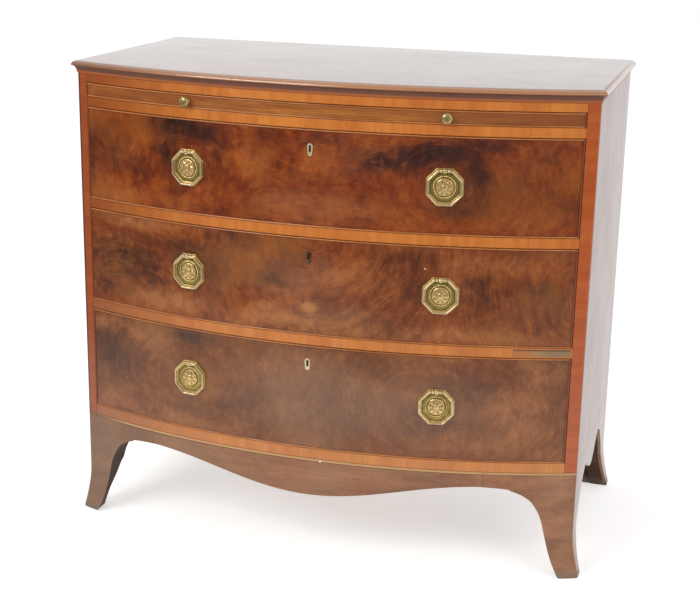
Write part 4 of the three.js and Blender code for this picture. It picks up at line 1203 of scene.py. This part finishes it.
# A nut behind the front: a washer's section carried round the shank
def nutSurface():
    face, hole = drawerFront["thickness"] + nut["gap"], handle["shank"] + seat
    outer = face + nut["height"]
    section = [(nut["radius"], face), (nut["radius"], face + nut["edge"]), (nut["flat"], outer),
               (hole, outer), (hole, face)]
    points = turned(section, 12)[0].reshape(len(section), 12, 3)
    return lifted(grid(points, wrapRows=True), handle["postRise"])


def buildHandle(body, drawer, word, x, z):
    plate = buildPlate(x, z, f"{drawer}Plate{word.title()}")
    seatOn(plate, body, brassRelief, "brass", f"drawer_{drawer}_plate_{word}")
    seatOn(buildPost(x, z, f"{drawer}Post{word.title()}"), body, brass, "brass")
    ring = makePiece(f"{drawer}Ring{word.title()}", [ontoBow(ringSurface(), x, z)], 50)
    seatOn(ring, f"ring_{drawer}_{word}", brass, "brass", f"drawer_{drawer}_ring_{word}")
    fastening = makePiece(f"{drawer}Nut{word.title()}", [ontoBow(nutSurface(), x, z)], 30)
    seatOn(fastening, body, iron, "iron")


# One drawer: front, beads, fittings, and its CAD linings with their oak and pine
def buildDrawer(drawer, flame):
    body = f"drawer_{drawer}"
    low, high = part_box(f"{body}_front")
    keyZ = high.z - drawerFront["keyDrop"]
    handleZ = (low.z - seat + high.z + case["slidingGap"]) / 2 + flame["handleRise"]
    lock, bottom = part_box(f"{body}_lock_case"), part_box(f"{body}_bottom")
    piece = makePiece(f"{drawer}Front", [prism(frontPlan(), low.z, high.z)])
    face = float(bowY(0))
    inner, letIn = face + drawerFront["thickness"], face + escutcheon["thickness"]
    half = slidingHalf - drawerFront["lap"] + drawerFront["grooveReach"]
    groove = np.vstack([bowRun(-half, half, drawerFront["groove"] - drawerFront["thickness"]),
                        [(half, 0.1), (-half, 0.1)]])
    cutters = [boxCutter((lock[0].x - seat, lock[0].y - seat, lock[0].z - seat),
                         (lock[1].x + seat, inner + past, high.z + past)),
               cutter(prism(keyholeOutline(keyZ), face - past, inner, 1)),
               cutter(prism(escutcheonOutline(keyZ, seat), face - past, letIn + seat, 1)),
               cutter(prism(groove, bottom[0].z - seat, bottom[1].z + seat))]
    cutters += boreCutters(handleZ + handle["postRise"], handle["shank"], handle["boreEnd"])
    carve(piece, cutters)
    seatOn(piece, body, flameVeneer(f"{drawer}Veneer", low.z, high.z, flame), "mahogany", f"{body}_front")
    buildBead(f"{drawer}Bead", body, low.z, high.z)
    plate = makePiece(f"{drawer}Escutcheon", [prism(escutcheonOutline(keyZ), face - 0.0005, letIn, 1)])
    carve(plate, [cutter(prism(keyholeOutline(keyZ), face - past, face + past, 1))])
    escutcheonBrass = dullBrass if drawer == "middle" else paleBrass
    seatOn(ease(plate, escutcheon["arris"]), body, escutcheonBrass, "brass", f"{body}_escutcheon")
    for word, x in places.items():
        buildHandle(body, drawer, word, x, handleZ)
    sideTop = high.z - dovetail["below"]
    finishes = {"side_left": oakLining(f"{drawer}SideLeft", "Y", low.z, sideTop),
                "side_right": oakLining(f"{drawer}SideRight", "Y", low.z, sideTop),
                "back": oakLining(f"{drawer}Back", "X"), "bottom": pineAlongX,
                "lock_case": iron, "lock_bolt": iron}
    for word, material in finishes.items():
        dress(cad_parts[f"{body}_{word}"], material)
    print("drawer made:", drawer)


flames = {
    "upper": {
        "handleRise": -0.0015, "warp": (0.045, 0, 0.035), "density": 6, "figure": 0.15, "smearsAndGlare": 0.02,
        "tones": [(0.36, (80, 28, 4)), (0.46, (113, 42, 7)), (0.54, (137, 59, 11)), (0.64, (166, 86, 21))],
        "golden": (0.6, (146, 82, 30)),
        "hazesTone": (150, 104, 76), "lightsTone": (172, 98, 40), "cloudsTone": (36, 20, 20),
        "arcs": [(-0.215, 0.676, 0.1, 0.075), (0.224, 0.676, 0.1, 0.075), (0.0, 0.9, 0.3, 0.2)],
        "hazes": [(0, 0.63, 0.16, 0.04, 0.2)],
        "lights": [(-0.327, 0.7, 0.06, 0.04, 0.08), (-0.3, 0.612, 0.14, 0.026, 0.35),
                   (-0.103, 0.698, 0.06, 0.05, 0.3), (0, 0.629, 0.15, 0.045, 0.35),
                   (0.02, 0.7, 0.09, 0.045, 0.3), (0.129, 0.629, 0.11, 0.04, 0.3),
                   (0.335, 0.616, 0.1, 0.03, 0.4), (0.344, 0.715, 0.06, 0.045, 0.15)],
        "clouds": [(-0.235, 0.742, 0.1, 0.034, 0.95), (-0.18, 0.73, 0.06, 0.03, 0.5),
                   (-0.262, 0.702, 0.042, 0.05, 0.75), (-0.245, 0.642, 0.045, 0.035, 0.5),
                   (-0.172, 0.69, 0.05, 0.045, 0.5), (-0.077, 0.741, 0.06, 0.025, 0.3),
                   (0.026, 0.742, 0.07, 0.022, 0.4), (0.125, 0.7165, 0.085, 0.038, 0.95),
                   (0.2, 0.728, 0.1, 0.04, 0.8), (0.29, 0.746, 0.09, 0.024, 0.5),
                   (0.268, 0.69, 0.042, 0.075, 0.7), (0.241, 0.642, 0.06, 0.034, 0.55),
                   (0.378, 0.724, 0.06, 0.05, 0.35), (-0.421, 0.676, 0.016, 0.1, 0.5),
                   (-0.395, 0.69, 0.07, 0.08, 0.3), (-0.34, 0.68, 0.09, 0.07, 0.25),
                   (0.36, 0.66, 0.09, 0.06, 0.2)],
        "flecks": []},
    "middle": {
        "handleRise": 0.001, "warp": (0.04, 0, 0.03), "density": 7, "figure": 0.22, "smearsAndGlare": 0.04,
        "tones": [(0.36, (78, 32, 8)), (0.46, (114, 50, 13)), (0.54, (141, 69, 22)), (0.64, (170, 95, 37))],
        "golden": (0.5, (142, 88, 38)),
        "hazesTone": (152, 112, 86), "lightsTone": (178, 116, 66), "cloudsTone": (42, 26, 22),
        "arcs": [(0.0, 0.589, 0.14, 0.13), (0.46, 0.5, 0.1, 0.1), (-0.36, 0.42, 0.16, 0.12)],
        "hazes": [(-0.01, 0.51, 0.14, 0.06, 0.3), (0.03, 0.45, 0.14, 0.035, 0.35)],
        "lights": [(-0.33, 0.566, 0.1, 0.018, 0.5), (-0.26, 0.438, 0.13, 0.026, 0.55),
                   (0.002, 0.4595, 0.019, 0.017, 1.6), (0, 0.4295, 0.22, 0.028, 0.7),
                   (-0.075, 0.455, 0.04, 0.016, 0.45), (0.08, 0.455, 0.04, 0.016, 0.45),
                   (0.107, 0.511, 0.08, 0.055, 0.25), (0.3, 0.55, 0.1, 0.03, 0.3),
                   (0.215, 0.4295, 0.2, 0.026, 0.4)],
        "clouds": [(-0.36, 0.503, 0.11, 0.06, 0.85), (-0.404, 0.45, 0.05, 0.04, 0.5),
                   (-0.29, 0.484, 0.08, 0.05, 0.6), (-0.228, 0.533, 0.07, 0.045, 0.55),
                   (-0.172, 0.503, 0.045, 0.065, 0.45), (-0.056, 0.51, 0.045, 0.04, 0.45),
                   (-0.129, 0.5585, 0.07, 0.025, 0.4), (0.168, 0.5585, 0.09, 0.033, 0.3),
                   (0.172, 0.503, 0.04, 0.055, 0.35), (0.279, 0.503, 0.05, 0.06, 0.65),
                   (0.37, 0.49, 0.1, 0.06, 0.25), (0.034, 0.475, 0.05, 0.03, 0.25)],
        "flecks": [(0.193, 0.5405, 0.0014, 0.00182)]},
    "lower": {
        "handleRise": 0.003, "warp": (0.04, 0, 0.03), "density": 6.5, "figure": 0.2, "smearsAndGlare": 0.05,
        "tones": [(0.36, (86, 40, 12)), (0.46, (110, 56, 19)), (0.54, (128, 71, 29)), (0.64, (152, 95, 50))],
        "golden": (0.4, (148, 98, 50)),
        "hazesTone": (152, 120, 98), "lightsTone": (176, 112, 62), "cloudsTone": (60, 34, 20),
        "arcs": [(-0.2236, 0.309, 0.11, 0.08), (0.215, 0.3047, 0.12, 0.09)],
        "hazes": [(0, 0.3, 0.2, 0.12, 0.45), (0.2, 0.3, 0.2, 0.1, 0.3)],
        "lights": [(-0.404, 0.3735, 0.045, 0.03, 0.6), (-0.314, 0.369, 0.06, 0.03, 0.35),
                   (-0.279, 0.2316, 0.13, 0.024, 0.5), (0.0215, 0.3735, 0.07, 0.024, 0.3),
                   (0.387, 0.3735, 0.07, 0.036, 0.45), (0.345, 0.296, 0.07, 0.065, 0.7),
                   (0.3, 0.25, 0.12, 0.04, 0.55)],
        "clouds": [(-0.215, 0.38, 0.06, 0.024, 0.85), (-0.38, 0.32, 0.1, 0.08, 0.6),
                   (-0.4, 0.2746, 0.06, 0.035, 0.45), (-0.13, 0.37, 0.08, 0.03, 0.35),
                   (-0.189, 0.2574, 0.1, 0.035, 0.3), (-0.1, 0.266, 0.09, 0.055, 0.25),
                   (0.05, 0.3, 0.1, 0.065, 0.2), (0.258, 0.343, 0.07, 0.045, 0.35),
                   (0.12, 0.366, 0.1, 0.03, 0.3), (0.206, 0.266, 0.07, 0.035, 0.3)],
        "flecks": []},
}
for drawer, flame in flames.items():
    buildDrawer(drawer, flame)

# Camera at the photograph's angle
camera = {"place": (0.69917, -2.42616, 1.13159), "lens": 73.78, "sensor": 36, "yaw": 16.112,
          "pitch": 16.247, "roll": 1.161}


def addToScene(name, data):
    made = bpy.data.objects.new(name, data)
    bpy.context.scene.collection.objects.link(made)
    return made


def placeCamera():
    data = bpy.data.cameras.new("camera")
    data.lens = camera["lens"]
    data.sensor_width = camera["sensor"]
    yaw, pitch, roll = (math.radians(camera[key]) for key in ("yaw", "pitch", "roll"))
    forward = Vector((-math.sin(yaw) * math.cos(pitch), math.cos(yaw) * math.cos(pitch), -math.sin(pitch)))
    level = Vector((math.cos(yaw), math.sin(yaw), 0))
    above = level.cross(forward)
    right = math.cos(roll) * level + math.sin(roll) * above
    up = -math.sin(roll) * level + math.cos(roll) * above
    matrix = Matrix((right, up, -forward)).transposed().to_4x4()
    matrix.translation = Vector(camera["place"])
    made = addToScene("camera", data)
    made.matrix_world = matrix
    bpy.context.scene.camera = made


# A lamp with a soft face, aimed at a point
def softLamp(name, spot, target, size, power):
    data = bpy.data.lights.new(name, "AREA")
    data.shape = "RECTANGLE"
    data.size, data.size_y = size
    data.energy = power
    made = addToScene(name, data)
    made.location = spot
    made.rotation_euler = (Vector(target) - Vector(spot)).to_track_quat("-Z", "Y").to_euler()


# A white surround behind the chest that dims towards the camera's side, as a studio does, and a
# pale floor that keeps the chest's shadow. What is seen or mirrored of either is near white.
studio = {"diffuse": 0.62, "frontGlow": 0.12, "floorNear": 0.7, "floorFar": 2.0, "farGlow": 0.07,
          "floorHalf": 9}
white = (1, 1, 1, 1)


# Rays from the camera, and rays that come back from a mirror or through glass
def rays():
    path = addNode("LightPath").outputs
    return Wire(path["Is Camera Ray"]), most(Wire(path["Is Glossy Ray"]), Wire(path["Is Transmission Ray"]))


def buildSurround():
    world = bpy.data.worlds.new("studio")
    bpy.context.scene.world = world
    world.use_nodes = True
    world.node_tree.nodes.clear()
    bench["tree"] = world.node_tree
    cameraRay, mirrorRay = rays()
    glow = smoothRange(split(outOf("TexCoord", output="Generated"))[1], -0.5, 0.25, studio["frontGlow"], 1.0)
    soft, around, plain = (outOf("Background", {"Color": white, "Strength": strength})
                           for strength in (studio["diffuse"], glow, 1.0))
    mixed = outOf("MixShader", {0: mirrorRay, 1: soft, 2: around})
    mixed = outOf("MixShader", {0: cameraRay, 1: mixed, 2: plain})
    plug(mixed, addNode("OutputWorld").inputs["Surface"])


def buildFloor():
    half = studio["floorHalf"]
    mesh = bpy.data.meshes.new("floor")
    corners = [(-half, -half, 0), (half, -half, 0), (half, half, 0), (-half, half, 0)]
    mesh.from_pydata(corners, [], [(0, 1, 2, 3)])
    floor = addToScene("floor", mesh)
    material, spot = newMaterial("paleFloor")
    surface = material.node_tree.nodes["Principled BSDF"]
    cameraRay, mirrorRay = rays()
    plug(mixTone(noise(spot, 3, 3, 0.5), (240, 240, 240), (246, 246, 246)), surface.inputs["Base Color"])
    surface.inputs["Roughness"].default_value = 0.8
    x, y, _ = split(spot)
    near = smoothRange(y, -studio["floorFar"], -studio["floorNear"], studio["farGlow"], 0.92)
    near = near * smoothRange(x, -1.8, -0.9, 0.1, 1)
    seen = outOf("Emission", {"Color": white, "Strength": cameraRay * 0.5})
    lit = outOf("AddShader", {0: Wire(surface.outputs[0]), 1: seen})
    glow = outOf("Emission", {"Color": white, "Strength": near})
    both = outOf("MixShader", {0: mirrorRay, 1: lit, 2: glow})
    plug(both, material.node_tree.nodes["Material Output"].inputs["Surface"])
    floor.data.materials.append(material)


placeCamera()
buildSurround()
softLamp("keyLamp", (-1.6, -2.6, 2.4), (0, 0, 0.45), (1.8, 1.4), 55)
softLamp("fillLamp", (2.4, -1.6, 1.6), (0, 0, 0.4), (1.4, 1.4), 14)
buildFloor()
